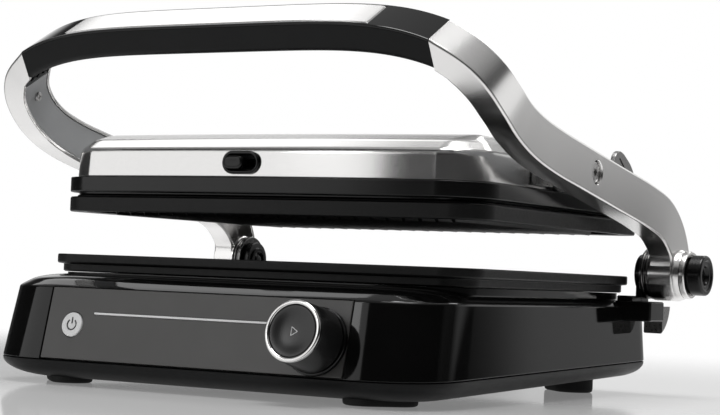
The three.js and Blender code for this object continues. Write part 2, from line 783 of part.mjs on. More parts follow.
// Centre line of the right arm from the grip to the hinge: x, y, z, then the angle of the bar's
// width in the side view in degrees, and half that width.
const ARM_PATH = [
  [GRIP.half, -23.9, 199.2, 30, 14.45],
  [153.4, -18.5, 191, 30, 14.45],
  [161.8, -9.5, 180.6, 33, 14],
  [165.6, 3, 169.7, 41, 13.6],
  [166.4, 18, 160.5, 52, 13.5],
  [166.5, 38, 153.3, 66, 13.5],
  [166.6, 66, 147, 76, 13.6],
  [167.2, 100, 141, 79.5, 13.6],
  [168.6, 150, 132, 79.5, 13.8],
  [170.6, 200, 122.6, 77, 14.2],
  [171.6, 226, 115.2, 64, 14.6],
  [172.1, 242, 104, 34, 15.4],
  [172.4, 249.6, 92, 4, 16.4],
  [172.5, HINGE.y, HINGE.z + 2, 0, 16.6],
];
const armCurve = new THREE.CatmullRomCurve3(
  ARM_PATH.map(([x, y, z]) => new THREE.Vector3(x, y, z)),
  false,
  'centripetal',
);
const armWidths = new THREE.CatmullRomCurve3(
  ARM_PATH.map(([, , , angle, half]) => new THREE.Vector3(angle, half, 0)),
  false,
  'catmullrom',
);

// At the grip the arm's section matches the grip's flat end; further on it is square to the arm.
function armStation(t) {
  const centre = armCurve.getPoint(t);
  const tangent = armCurve.getTangent(t);
  const { x: degrees, y: half } = armWidths.getPoint(t);
  const angle = THREE.MathUtils.degToRad(degrees);
  const width = new THREE.Vector3(0, Math.cos(angle), Math.sin(angle));
  const square = new THREE.Vector3().crossVectors(tangent, width).normalize();
  const matched = new THREE.Vector3(0, -Math.sin(GRIP.tilt), Math.cos(GRIP.tilt))
    .multiplyScalar(BAR.thick / BAR.armThick);
  const normal = matched.lerp(square, THREE.MathUtils.smoothstep(t, 0, 0.1));
  return { centre, width, normal, half, outer: centre.x + BAR.armThick / 2 };
}

// The place along the arm, from 0 to 1, that is nearest to the pivot of the upper unit.
const PIVOT_T = findAlongArm(PIVOT.y);

function findAlongArm(y) {
  let low = 0;
  let high = 1;
  for (let i = 0; i < 40; i += 1) {
    const middle = (low + high) / 2;
    if (armCurve.getPoint(middle).y < y) low = middle;
    else high = middle;
  }
  return low;
}

function armBar(makeSection, from, to, steps) {
  const rings = [];
  for (let i = 0; i <= steps; i += 1) {
    const station = armStation(from + (to - from) * i / steps);
    rings.push(placeSection(makeSection(station.half), station.centre, station.width, station.normal));
  }
  return loft(rings, makeSection(BAR.width / 2));
}

function buildArms() {
  const t = BAR.armThick / 2;
  const c = BAR.chamfer;
  const wall = BAR.wall;
  const channel = (w) => vec([
    [-w, -t],
    [-w + wall, -t],
    [-w + wall, t - wall],
    [w - wall, t - wall],
    [w - wall, -t],
    [w, -t],
    [w, t - c],
    [w - c, t],
    [-w + c, t],
    [-w, t - c],
  ]);
  const strip = (w) => vec([
    [-w + wall + GAP, -t + 0.4],
    [w - wall - GAP, -t + 0.4],
    [w - wall - GAP, -t + 2.4],
    [-w + wall + GAP, -t + 2.4],
  ]);
  const outer = armStation(PIVOT_T).outer;
  const hubIn = STACK.flangeOut + GAP;
  const arm = cut(
    join(
      armBar(channel, 0, 1, 36),
      rodX(hubIn + 0.6, outer - 0.5, PIVOT.y, PIVOT.z, PIVOT.boss),
      rodX(hubIn, armStation(1).outer, HINGE.y, HINGE.z, HINGE.lug, 36),
    ),
    block(140, hubIn, 228, 300, 40, 101),
    rodX(140, 200, PIVOT.y, PIVOT.z, PIVOT.pin + 0.2, 24),
    rodX(outer - 4.8, outer + 8, PIVOT.y, PIVOT.z, PIVOT.head + 0.3, 28),
    rodX(140, 200, HINGE.y, HINGE.z, HINGE.pin + 0.2, 28),
  );
  const end = armStation(1).outer;
  const barrel = rodX(end - 1, STACK.collar - 4, HINGE.y, HINGE.z, COLLAR_RADIUS, 32);
  const capWell = rodX(STACK.collar - CAP_WELL, 200, HINGE.y, HINGE.z, CAP_RADIUS - 1.2 + GAP, 32);
  add('arm_right', cut(join(arm, barrel), capWell), POLISHED);
  const plugWell = rodX(end - 4, 200, HINGE.y, HINGE.z, 12 + GAP, 32);
  add('arm_left', mirrored(cut(arm, plugWell)), POLISHED);

  const spread = PIVOT.boss + 1;
  const frontCover = armBar(strip, 0.004, findAlongArm(PIVOT.y - spread), 18);
  addPair('arm_cover_front', frontCover, MID_GREY);
  const rearCover = armBar(strip, findAlongArm(PIVOT.y + spread), findAlongArm(222), 8);
  addPair('arm_cover_rear', rearCover, MID_GREY);

  const { centre, width, normal } = armStation(COVER_SCREW.at);
  const along = new THREE.Vector3().crossVectors(normal, width);
  const frame = new THREE.Matrix4().makeBasis(width, along, normal);
  frame.setPosition(centre.clone().addScaledVector(normal, -t + 0.4 - GAP));
  const head = turned([
    [0, 0],
    [COVER_SCREW.radius, 0],
    [COVER_SCREW.radius, -0.8],
    [COVER_SCREW.radius - 0.6, -1.2],
    [0, -1.2],
  ].reverse(), 20).applyMatrix4(frame);
  addPair('arm_cover_screw', head, SCREW_STEEL);
}

// ---------------------------------------------------------------- hinges

function buildHinges() {
  const { y, z } = HINGE;
  const { cheekIn, cheekOut } = STACK;
  const front = y - POST.half;
  const bracket = cut(
    join(
      outriggerBlock(),
      block(OUTRIGGER.inner, cheekOut, front - POST.shelf, OUTRIGGER.back - 5, 60, POST.shelfTop),
      block(cheekIn, cheekOut, front, OUTRIGGER.back + POST.back, POST.foot, z),
      rodX(cheekIn, cheekOut, y, z, HINGE.cheek),
    ),
    rodX(140, 160, y, z, HINGE.pin + 0.2, 28),
  );
  addPair('hinge_bracket', bracket, SATIN_BLACK);

  const saddle = cut(
    rodX(cheekOut + GAP, OUTRIGGER.outer - 1, SADDLE.y, SADDLE.z, SADDLE.radius, 40),
    outriggerBlock(GAP, 40),
    rodX(150, 180, y, z, HINGE.lug + 1, 40),
    block(150, 180, 180, OUTRIGGER.back + GAP, 0, 100),
    block(150, 180, 180, 300, OUTRIGGER.top - 3, 100),
  );
  addPair('hinge_saddle', saddle, MID_GREY);

  const axle = join(
    rodX(cheekIn + 0.6, armStation(1).outer - 4.6, y, z, HINGE.pin, 28),
    rodX(cheekOut + GAP, STACK.flangeOut, y, z, HINGE.flange),
  );
  addPair('hinge_axle', axle, DARK_METAL);

  const collar = turned([
    [CAP_RADIUS + GAP, 0],
    [COLLAR_RADIUS, 0],
    [COLLAR_RADIUS, 3],
    [COLLAR_RADIUS - 1, 3.7],
    [CAP_RADIUS + GAP, 3.7],
    [CAP_RADIUS + GAP, 0],
  ], 32).rotateY(Math.PI / 2).translate(STACK.collar - 3.7, y, z);
  add('hinge_collar', collar, CHROME);

  const inner = STACK.collar - CAP_WELL + GAP + TRAVEL.release;
  const shoulder = STACK.collar + TRAVEL.release - 2;
  const cap = turned([
    [0, inner],
    [CAP_RADIUS - 1.2, inner],
    [CAP_RADIUS - 1.2, shoulder],
    [CAP_RADIUS, shoulder + 0.4],
    [CAP_RADIUS, STACK.cap - 1.6],
    [CAP_RADIUS - 1.6, STACK.cap],
    [6.4, STACK.cap - 0.6],
    [5.4, STACK.cap - 3.4],
    [0, STACK.cap - 3.8],
  ], 32).rotateY(Math.PI / 2).translate(0, y, z);
  add('release_cap', cap, SATIN_BLACK);

  const face = -armStation(1).outer;
  const plug = turned([[0, 0], [10, 0], [11.5, 1], [12, 4], [0, 4]], 28)
    .rotateY(Math.PI / 2)
    .translate(face - 0.6, y, z);
  add('hinge_plug', plug, SATIN_BLACK);
}

// ---------------------------------------------------------------- assembly

buildBase();
buildPanel();
buildLowerPlate();
buildUpperUnit();
buildLatch();
buildGrip();
buildArms();
buildHinges();

export default model;
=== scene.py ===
"""Contact grill (panini press): the detailed pieces, finishes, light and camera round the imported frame."""
import json
import math

import bmesh
import bpy
import numpy as np
from mathutils import Matrix, Vector


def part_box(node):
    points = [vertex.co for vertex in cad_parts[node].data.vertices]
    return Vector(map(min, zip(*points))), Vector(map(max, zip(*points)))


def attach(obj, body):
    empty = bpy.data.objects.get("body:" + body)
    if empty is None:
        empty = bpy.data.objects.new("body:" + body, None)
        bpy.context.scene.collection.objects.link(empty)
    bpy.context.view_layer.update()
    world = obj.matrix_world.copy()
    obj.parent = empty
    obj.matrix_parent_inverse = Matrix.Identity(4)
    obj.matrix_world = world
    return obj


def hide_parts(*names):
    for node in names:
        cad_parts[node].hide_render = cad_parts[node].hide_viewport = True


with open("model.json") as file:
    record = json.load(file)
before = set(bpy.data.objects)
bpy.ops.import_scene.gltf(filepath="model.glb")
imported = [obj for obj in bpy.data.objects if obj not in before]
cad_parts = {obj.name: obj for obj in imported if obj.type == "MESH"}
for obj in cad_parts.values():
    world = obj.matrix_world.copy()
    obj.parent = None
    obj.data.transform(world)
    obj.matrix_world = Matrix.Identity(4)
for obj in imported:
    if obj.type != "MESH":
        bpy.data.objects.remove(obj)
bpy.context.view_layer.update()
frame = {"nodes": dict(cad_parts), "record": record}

# ---------------- measures, in millimetres
# Pieces are drawn from the machine's middle plane, the lower plate's front edge and the worktop.

MM = 0.001
GAP = 0.3
PLATE = {"corner": 22, "bow": 7, "thick": 11, "well": 3.4}
LOWER_EDGE = {"rim": 5.8, "step": 3.5, "ridge": 2.4}
UPPER_EDGE = {"rim": 9.4, "step": 4, "ridge": 4.4}
RIDGE_PITCH, RIDGE_HALF, RIDGE_MARGIN = 11, 2.5, 24
SEAT_INSET, SEAT_WALL = 6, 3
plate_low, plate_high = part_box("lower_plate")
MIDDLE = (plate_low.x + plate_high.x) / 2
FRONT = plate_low.y + PLATE["bow"] * MM
PLATE_HALF = (plate_high.x - plate_low.x) / 2 / MM
PLATE_DEPTH = (plate_high.y - FRONT) / MM
LOWER_TOP = plate_high.z / MM
UPPER_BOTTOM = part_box("upper_plate")[0].z / MM
UPPER_SHIFT = 10

LEAN = 0.236
SEAM = 14.6
REAR_RISE = 7.8
PAN_FLOOR, PAN_FRONT_ROUND, PAN_SIDE_ROUND = 2.8, 30, 24
DECK_EDGE = 59.2
DECK_TOP = 66.2
BASE_HALF = 154
BASE_REAR = 269
SIDE_DRAFT, REAR_DRAFT = 0.055, 0.03
PANEL_FOOT = -55.3
PANEL_HALF = 103.8
PANEL_HEIGHT = 44.4
PANEL_THICK, PANEL_CLEARANCE, RECESS_FLARE = 3, 0.55, 1.2
CORD_X, CORD_Z = -92, 34
FOOT_X, FOOT_FRONT, FOOT_REAR, FOOT_HALF, FOOT_RADIUS = 109, -20, 236, 21.5, 13
FOOT_SINK = 6.2

KNOB_X, KNOB_UP, KNOB_REACH = 85, 20.2, 27.5
KNOB_SKIRT, KNOB_RING, KNOB_CAP, KNOB_FLANGE = 18, 17.3, 14.4, 19.4
POWER_X, POWER_UP, POWER_RADIUS = -84.6, 21.8, 7.3
LINE_LEFT, LINE_RIGHT, LINE_UP, LINE_WIDTH = -70, 63.4, 29.2, 1.2

COVER_HALF = 146.5
BEZEL_HALF = 150.6
COVER_BOTTOM, COVER_FACE, COVER_BEVEL, COVER_TOP = 127.2, 144.4, 151, 156.4
PIVOT_Y, PIVOT_Z, PIVOT_BOSS, PIVOT_HOLE = 116.8, 139, 12, 4.2
LATCH_X, LATCH_Z, LATCH_HALF, LATCH_RADIUS = -5, 136, 13, 6.9
THUMB_HALF, THUMB_RADIUS, LATCH_TRAVEL, SLOT_HALF, SLOT_RISE = 6.9, 4.1, 8, 11.6, 4.7

HINGE_Y, HINGE_Z, LUG, AXLE_BORE = 250.4, 80.3, 17.4, 5.2
CHEEK_IN, CHEEK_OUT, FLANGE_OUT, COLLAR_X, CAP_X = 152.4, 156.8, 162.6, 188, 198.2
COLLAR_RADIUS, CAP_RADIUS = 15.6, 13.2
BLOCK_IN, BLOCK_OUT, BLOCK_FRONT, BLOCK_BACK, BLOCK_LOW, BLOCK_TOP = 146, 171, 222, 246, 49, 62
SADDLE_Y, SADDLE_Z, SADDLE_RADIUS = 238, 62, 22.4

BAR_WIDTH, BAR_THICK, ARM_THICK, ARM_WALL = 28.9, 18.4, 15.6, 2.4
GRIP_HALF, GRIP_Y, GRIP_Z, GRIP_TILT, GRIP_DROP, GRIP_ORDER = 141.3, -30.4, 210.5, math.pi / 6, 13, 5
INSET_LEFT, INSET_RIGHT, INSET_WIDTH = -107, 105, 24.6

# Centre line of the right arm: x, y, z, the angle of the bar's width in degrees and half that width.
ARM_PATH = np.array([
    [GRIP_HALF, -23.9, 199.2, 30, 14.45],
    [153.4, -18.5, 191, 30, 14.45],
    [161.8, -9.5, 180.6, 33, 14],
    [165.6, 3, 169.7, 41, 13.6],
    [166.4, 18, 160.5, 52, 13.5],
    [166.5, 38, 153.3, 66, 13.5],
    [166.6, 66, 147, 76, 13.6],
    [167.2, 100, 141, 79.5, 13.6],
    [168.6, 150, 132, 79.5, 13.8],
    [170.6, 200, 122.6, 77, 14.2],
    [171.6, 226, 115.2, 64, 14.6],
    [172.1, 242, 104, 34, 15.4],
    [172.4, 249.6, 92, 4, 16.4],
    [172.5, HINGE_Y, HINGE_Z + 2, 0, 16.6],
])

# ---------------- materials


def feed(node, **inputs):
    """Gives inputs, named with _ for a space, a value or a link from another node's socket."""
    for name, value in inputs.items():
        socket = node.inputs[name.replace("_", " ")]
        if isinstance(value, bpy.types.NodeSocket):
            node.id_data.links.new(value, socket)
        else:
            socket.default_value = value
    return node


def add_node(tree, kind, **inputs):
    return feed(tree.nodes.new("ShaderNode" + kind), **inputs)


class Nodes:
    """A small helper that builds one material's node tree."""

    def __init__(self, name, **shader):
        self.material = bpy.data.materials.new(name)
        self.material.use_nodes = True
        self.tree = self.material.node_tree
        self.shader = feed(self.tree.nodes["Principled BSDF"], **shader)
        self.place = add_node(self.tree, "TexCoord").outputs["Object"]

    def noise(self, scale, stretch=(1, 1, 1), detail=3.0):
        """Noise over the piece, in cycles per metre, which may be stretched along an axis."""
        place = add_node(self.tree, "Mapping", Scale=stretch, Vector=self.place).outputs["Vector"]
        return add_node(self.tree, "TexNoise", Scale=scale, Detail=detail, Vector=place).outputs["Fac"]

    def rough(self, source, low, high):
        """Roughness from low to high over the source's range."""
        node = add_node(self.tree, "MapRange", Value=source, To_Min=low, To_Max=high)
        feed(node, From_Min=0.3, From_Max=0.7)
        feed(self.shader, Roughness=node.outputs["Result"])

    def colours(self, source, low, high, low_at=0.3, high_at=0.7):
        """The source's range turned into a colour between two."""
        ramp = add_node(self.tree, "ValToRGB", Fac=source)
        for element, position, colour in zip(ramp.color_ramp.elements, (low_at, high_at), (low, high)):
            element.position = position
            element.color = (*colour, 1)
        feed(self.shader, Base_Color=ramp.outputs["Color"])

    def bump(self, source, depth):
        """Small relief, with its depth in metres."""
        node = add_node(self.tree, "Bump", Distance=depth, Strength=1.0, Height=source)
        feed(self.shader, Normal=node.outputs["Normal"])


def shade(grey, warm=0.0):
    """A grey in linear light, warmer above 0 and cooler below."""
    return (grey * (1 + warm), grey, grey * (1 - warm))


def plastic(name, grey, rough, grain=900, depth=0.0, spread=0.15, warm=0.0, index=1.5):
    """Moulded plastic: a fine grain, with a slow drift of colour and polish over the piece."""
    nodes = Nodes(name, Metallic=0.0, IOR=index)
    dark, light = shade(grey * (1 - spread), warm), shade(grey * (1 + spread), warm)
    nodes.colours(nodes.noise(30, detail=2), dark, light)
    nodes.rough(nodes.noise(140, detail=4), rough * 0.95, rough * 1.05)
    if depth:
        nodes.bump(nodes.noise(grain, detail=3), depth)
    return nodes.material


def metal(name, grey, rough, scale, stretch=(1, 1, 1), spread=0.06, wander=0.2, brushed=0.0):
    """Metal with a fine finish, whose gloss is drawn out across X where it is brushed along X."""
    nodes = Nodes(name, Metallic=1.0)
    lines = nodes.noise(scale, stretch, detail=5)
    nodes.colours(lines, shade(grey * (1 - spread), 0.01), shade(grey * (1 + spread), 0.01))
    nodes.rough(lines, rough * (1 - wander), rough * (1 + wander))
    if brushed:
        along = add_node(nodes.tree, "CombineXYZ", X=1).outputs["Vector"]
        feed(nodes.shader, Anisotropic=brushed, Anisotropic_Rotation=QUARTER_TURN, Tangent=along)
    return nodes.material


def coating():
    """Non-stick coating: near black, faintly speckled, with a fine cast texture under it."""
    nodes = Nodes("nonstick_coating", Metallic=0.0, IOR=1.32)
    nodes.colours(nodes.noise(2600, detail=2), shade(0.004), shade(0.015), 0.52, 0.74)
    nodes.rough(nodes.noise(420, detail=4), 0.36, 0.46)
    nodes.bump(nodes.noise(1500, detail=3), 0.00005)
    return nodes.material


def board_green():
    """Solder mask over copper tracks."""
    nodes = Nodes("solder_mask", Metallic=0.0, Roughness=0.35)
    nodes.colours(nodes.noise(160, (1, 6, 1)), (0.01, 0.1, 0.035), (0.02, 0.2, 0.07), 0.48, 0.52)
    return nodes.material


def element_sheath():
    """Heat-darkened steel tube with straw and blue tints."""
    nodes = Nodes("element_sheath", Metallic=1.0)
    nodes.colours(nodes.noise(60), (0.1, 0.085, 0.075), (0.2, 0.15, 0.1))
    nodes.rough(nodes.noise(400), 0.35, 0.6)
    return nodes.material


ALONG_X, QUARTER_TURN = (0.02, 1, 1), 0.25
FINISHES = {
    "gloss_black": plastic("gloss_black", 0.003, 0.06, spread=0.2, index=1.38),
    "satin_black": plastic("satin_black", 0.003, 0.22, 1800, 0.00001, index=1.4),
    "matt_black": plastic("matt_black", 0.005, 0.4, 2200, 0.00002, warm=-0.05, index=1.25),
    "panel_grey": plastic("panel_grey", 0.05, 0.34, 2600, 0.000015, 0.06, 0.03),
    "silver_trim": plastic("silver_trim", 0.82, 0.3, spread=0.04),
    "nonstick": coating(),
    "brushed_steel": metal("brushed_steel", 0.66, 0.17, 4200, ALONG_X, 0.035, 0.08, brushed=0.85),
    "polished_aluminium": metal("polished_aluminium", 0.78, 0.2, 900, spread=0.02, wander=0.06),
    "chrome": metal("chrome", 0.6, 0.09, 200, spread=0.02),
    "mid_grey": plastic("mid_grey", 0.42, 0.42, 2000, 0.00002, 0.06, -0.02),
    "dark_metal": metal("dark_metal", 0.17, 0.2, 500, spread=0.1),
    "grey_metal": metal("grey_metal", 0.3, 0.3, 700, spread=0.1),
    "screw_steel": metal("screw_steel", 0.5, 0.3, 900, spread=0.1),
    "tin_plate": metal("tin_plate", 0.55, 0.35, 200, spread=0.15),
    "element_sheath": element_sheath(),
    "circuit_board": board_green(),
    "rubber": plastic("rubber", 0.012, 0.7, 1600, 0.00005),
    "dial_black": plastic("dial_black", 0.008, 0.26, index=1.5),
    "icon_black": plastic("icon_black", 0.01, 0.4),
    "icon_white": plastic("icon_white", 0.75, 0.35, spread=0.03),
}

# ---------------- mesh building


def put(points):
    """Millimetres from the machine's middle and the plate's front edge, as metres in the frame."""
    points = np.asarray(points, float).reshape(-1, 3) * MM
    return points + np.array([MIDDLE, FRONT, 0])


def solid(name, points, faces):
    """A mesh object from points in millimetres."""
    mesh = bpy.data.meshes.new(name)
    mesh.from_pydata([tuple(p) for p in put(points)], [], [tuple(f) for f in faces])
    bm = bmesh.new()
    bm.from_mesh(mesh)
    bmesh.ops.recalc_face_normals(bm, faces=bm.faces)
    bm.to_mesh(mesh)
    bm.free()
    piece = bpy.data.objects.new(name, mesh)
    bpy.context.scene.collection.objects.link(piece)
    return piece


def settle(piece):
    """Replaces the piece's mesh with what its modifiers make of it."""
    made = bpy.data.meshes.new_from_object(piece.evaluated_get(bpy.context.evaluated_depsgraph_get()))
    old = piece.data
    piece.modifiers.clear()
    piece.data = made
    bpy.data.meshes.remove(old)
    return piece


def combine(piece, operation, tools):
    """Cuts the tools from the piece, or joins them to it."""
    for tool in tools:
        modifier = piece.modifiers.new("combine", "BOOLEAN")
        modifier.operation = operation
        modifier.solver = "MANIFOLD"
        modifier.object = tool
    settle(piece)
    for tool in tools:
        mesh = tool.data
        bpy.data.objects.remove(tool)
        bpy.data.meshes.remove(mesh)
    return piece


def cut(piece, *tools):
    return combine(piece, "DIFFERENCE", tools)


def join(piece, *tools):
    return combine(piece, "UNION", tools)


def bevelled(piece, width, segments=2):
    """The piece with its edges rounded, in millimetres."""
    modifier = piece.modifiers.new("edges", "BEVEL")
    modifier.width = width * MM
    modifier.segments = segments
    modifier.limit_method = "ANGLE"
    modifier.angle_limit = math.radians(35)
    return settle(piece)


def show(piece, body, slot, replaced=(), sharp=32, finish=None):
    """Gives a piece its shading, finish and body."""
    mesh = piece.data
    mesh.shade_smooth()
    mesh.set_sharp_from_angle(angle=math.radians(sharp))
    modifier = piece.modifiers.new("normals", "WEIGHTED_NORMAL")
    modifier.keep_sharp = True
    mesh.materials.clear()
    mesh.materials.append(FINISHES[finish or slot])
    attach(piece, body)
    if replaced:
        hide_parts(*replaced)


def soften(path, radius, steps=4, closed=False):
    """The same path with its corners rounded. The radius is one number, or one for each point."""
    points = [np.array(p, float) for p in path]
    count = len(points)
    radii = [radius] * count if np.isscalar(radius) else radius
    rounded = []
    for i, corner in enumerate(points):
        if not radii[i] or (not closed and i in (0, count - 1)):
            rounded.append(corner)
            continue
        back = points[i - 1] - corner
        ahead = points[(i + 1) % count] - corner
        start = corner + back * min(radii[i] / np.linalg.norm(back), 0.48)
        end = corner + ahead * min(radii[i] / np.linalg.norm(ahead), 0.48)
        for t in np.linspace(0, 1, steps + 1):
            rounded.append((1 - t) ** 2 * start + 2 * t * (1 - t) * corner + t * t * end)
    return rounded


def sides(rings, closed=False):
    """The faces between rings of equal length."""
    count = len(rings[0])
    faces = []
    for r in range(len(rings) if closed else len(rings) - 1):
        a, b = r * count, (r + 1) % len(rings) * count
        for i in range(count):
            j = (i + 1) % count
            faces.append((a + i, a + j, b + j, b + i))
    return faces


def loft(name, rings, closed=False):
    """A body through rings that match point to point, with flat ends unless it closes on itself."""
    count = len(rings[0])
    faces = sides(rings, closed)
    if not closed:
        faces.append(tuple(range(count)))
        faces.append(tuple(range((len(rings) - 1) * count, len(rings) * count)))
    return solid(name, np.concatenate(rings), faces)


def outline(half, front, rear, front_radius, rear_radius, bow, power=2.0):
    """Rounded rectangle seen from above, anticlockwise, whose front edge may bow forward.

    Its corners are quarter circles, or fuller, with no sudden start, where the power is above 2.
    """
    def corner(cx, cy, radius, start):
        angles = start + np.linspace(0, math.pi / 2, 19)
        ways = np.stack([np.cos(angles), np.sin(angles)], 1)
        reach = np.sum(np.abs(ways) ** power, 1) ** (-1 / power)
        return np.array([cx, cy]) + radius * reach[:, None] * ways
    flat = half - front_radius
    across = np.linspace(-1, 1, 22)[1:-1]
    bowed = np.stack([across * flat, front - bow * (1 - across ** 2)], 1)
    return np.concatenate([
        corner(half - rear_radius, rear - rear_radius, rear_radius, 0),
        corner(-half + rear_radius, rear - rear_radius, rear_radius, math.pi / 2),
        corner(-half + front_radius, front + front_radius, front_radius, math.pi),
        bowed,
        corner(half - front_radius, front + front_radius, front_radius, 1.5 * math.pi),
    ])


def level(shape, z, by, side, rise):
    """The shape's ring at a height, drawn in at its front and sides, and climbing towards the back."""
    front, rear = shape["front"] + by, shape["rear"] - side
    xy = outline(
        shape["half"] - side,
        front,
        rear,
        max(shape["front_radius"] - by * 0.7, 2),
        max(shape["rear_radius"] - by * 0.7, 2),
        shape.get("bow", 0),
        shape.get("power", 2.0),
    )
    back = np.clip((xy[:, 1] - front) / (rear - front), 0, None)
    return np.column_stack([xy, z + rise * back])


def stack(name, shape_at, path, radius=0.0, steps=4):
    """A body from levels: z, inset at the front, and where they differ inset at the sides, and rise."""
    rows = [(r[0], r[1], r[2] if len(r) > 2 else r[1], r[3] if len(r) > 3 else 0.0) for r in path]
    return loft(name, [level(shape_at(row[0]), *row) for row in soften(rows, radius, steps)])


def lathe(name, profile, radii, matrix, steps=4, segments=72):
    """A turned piece round the matrix's Z, from (radius, height) closed on the axis or on itself."""
    profile = soften(profile, radii, steps)
    closed = np.allclose(profile[0], profile[-1])
    if closed:
        profile = profile[:-1]
    points, starts = [], []
    for radius, height in profile:
        starts.append(len(points))
        if radius < 1e-6:
            points.append((0, 0, height))
            continue
        for k in range(segments):
            angle = 2 * math.pi * k / segments
            points.append((radius * math.cos(angle), radius * math.sin(angle), height))
    faces = []
    for i in range(len(profile) - (0 if closed else 1)):
        j = (i + 1) % len(profile)
        a, b = starts[i], starts[j]
        a_pole, b_pole = profile[i][0] < 1e-6, profile[j][0] < 1e-6
        for k in range(segments):
            n = (k + 1) % segments
            if a_pole:
                faces.append((a, b + k, b + n))
            elif b_pole:
                faces.append((a + k, a + n, b))
            else:
                faces.append((a + k, a + n, b + n, b + k))
    return solid(name, moved(points, matrix), faces)


def moved(points, matrix):
    if matrix is None:
        return points
    m = np.array(matrix)
    return np.asarray(points, float) @ m[:3, :3].T + m[:3, 3]


def rod(low, high, radius, matrix, edge=0, segments=72, steps=3):
    """A plain rod along the matrix's Z, with rounded rims if it has an edge."""
    profile = [(0, low), (radius, low), (radius, high), (0, high)]
    return lathe("rod", profile, [0, edge, edge, 0], matrix, steps, segments)


def at_place(x, y, z, angle=0.0, axis="X"):
    """The matrix of a place, turned round one axis."""
    return Matrix.Translation((x, y, z)) @ Matrix.Rotation(angle, 4, axis)


def on_panel(x, up):
    """Local x along the panel, y up its slope, z out of it."""
    return at_place(x, PANEL_FOOT + up * math.sin(LEAN), SEAM + up * math.cos(LEAN), math.pi / 2 - LEAN)


def along_x(y, z, x=0.0):
    """Local z along the machine's X axis."""
    return at_place(x, y, z, math.pi / 2, "Y")


HINGE_LINE = along_x(HINGE_Y, HINGE_Z)
PIVOT_LINE = along_x(PIVOT_Y, PIVOT_Z)
PANEL_PLANE = on_panel(0, 0)
KNOB_PLACE = on_panel(KNOB_X, KNOB_UP)
POWER_PLACE = on_panel(POWER_X, POWER_UP)
BOX_FACES = [(0, 1, 3, 2), (4, 6, 7, 5), (0, 4, 5, 1), (2, 3, 7, 6), (0, 2, 6, 4), (1, 5, 7, 3)]


def block(x0, x1, y0, y1, z0, z1, matrix=None, edge=0.0, segments=3):
    """A block, with rounded edges where an edge radius is given."""
    corners = [(x, y, z) for x in (x0, x1) for y in (y0, y1) for z in (z0, z1)]
    piece = solid("block", moved(corners, matrix), BOX_FACES)
    return bevelled(piece, edge, segments) if edge else piece


def rectangle(left, right, low, high):
    return [(left, low), (right, low), (right, high), (left, high)]


def prism(profile, low, high, matrix):
    """A flat shape in local x and y, pushed out along local z."""
    return loft("prism", [moved([(*p, h) for p in profile], matrix) for h in (low, high)])


def oval_stack(name, half, radius, levels, matrix):
    """A body with straight sides and round ends, from levels of height and growth along local z."""
    angles = np.linspace(-math.pi / 2, math.pi / 2, 17)
    rings = []
    for height, grow in levels:
        r = radius + grow
        right = [(half - radius + r * math.cos(a), r * math.sin(a), height) for a in angles]
        left = [(-half + radius - r * math.cos(a), -r * math.sin(a), height) for a in angles]
        rings.append(moved(right + left, matrix))
    return loft(name, rings)


def mirrored(piece, name):
    """A copy on the other side of the machine."""
    copy = piece.copy()
    copy.data = piece.data.copy()
    copy.name = name
    bpy.context.scene.collection.objects.link(copy)
    bm = bmesh.new()
    bm.from_mesh(copy.data)
    for vertex in bm.verts:
        vertex.co.x = 2 * MIDDLE - vertex.co.x
    bmesh.ops.reverse_faces(bm, faces=bm.faces)
    bm.to_mesh(copy.data)
    bm.free()
    return copy


def named(piece, name):
    piece.name = name
    piece.data.name = name
    return piece


def pair(piece, name, body, slot, node, **more):
    """Shows the piece on the right and its mirror image on the left."""
    other = mirrored(piece, f"{name}_left")
    show(named(piece, f"{name}_right"), body, slot, [f"{node}_right"], **more)
    show(named(other, f"{name}_left"), body, slot, [f"{node}_left"], **more)


# ---------------- base


def base_shape(z):
    """The casings' outline at a height, narrower above the seam by the walls' draft."""
    above = max(z - SEAM, 0)
    return {
        "half": BASE_HALF - above * SIDE_DRAFT,
        "front": PANEL_FOOT + above * math.tan(LEAN),
        "rear": BASE_REAR - above * REAR_DRAFT,
        "front_radius": 52,
        "rear_radius": 20,
        "power": 2.7,
    }


def hinge_block(margin=0.0, above=0.0, edge=0.0):
    """The block that carries a hinge, or with margins the room it takes."""
    return block(
        BLOCK_IN - margin, BLOCK_OUT + margin, BLOCK_FRONT - margin, BLOCK_BACK + margin,
        BLOCK_LOW - margin, BLOCK_TOP + above, edge=edge,
    )


def build_pan():
    turn = np.linspace(0, math.pi / 2, 12)
    height = SEAM - 0.5 - PAN_FLOOR
    path = []
    for a in turn[::-1]:
        z, draw = PAN_FLOOR + height * (1 - math.sin(a)), 1 - math.cos(a)
        path.append((z, PAN_FRONT_ROUND * draw, PAN_SIDE_ROUND * draw, REAR_RISE))
    path.append((SEAM - GAP, 0.4, 0.4, REAR_RISE))
    pan = stack("lower_casing", base_shape, path)
    slots = [block(x - 1.5, x + 1.5, y - 20, y + 20, -5, PAN_FLOOR + 8)
             for x in range(-54, 55, 9) for y in (60, 150)]
    screws = [rod(-5, PAN_FLOOR + 9, 4.5, at_place(x, y, 0), segments=48)
              for x in (-128, 128) for y in (20, 200)]
    show(cut(pan, *slots, *screws), "base", "matt_black", ["base_pan"])


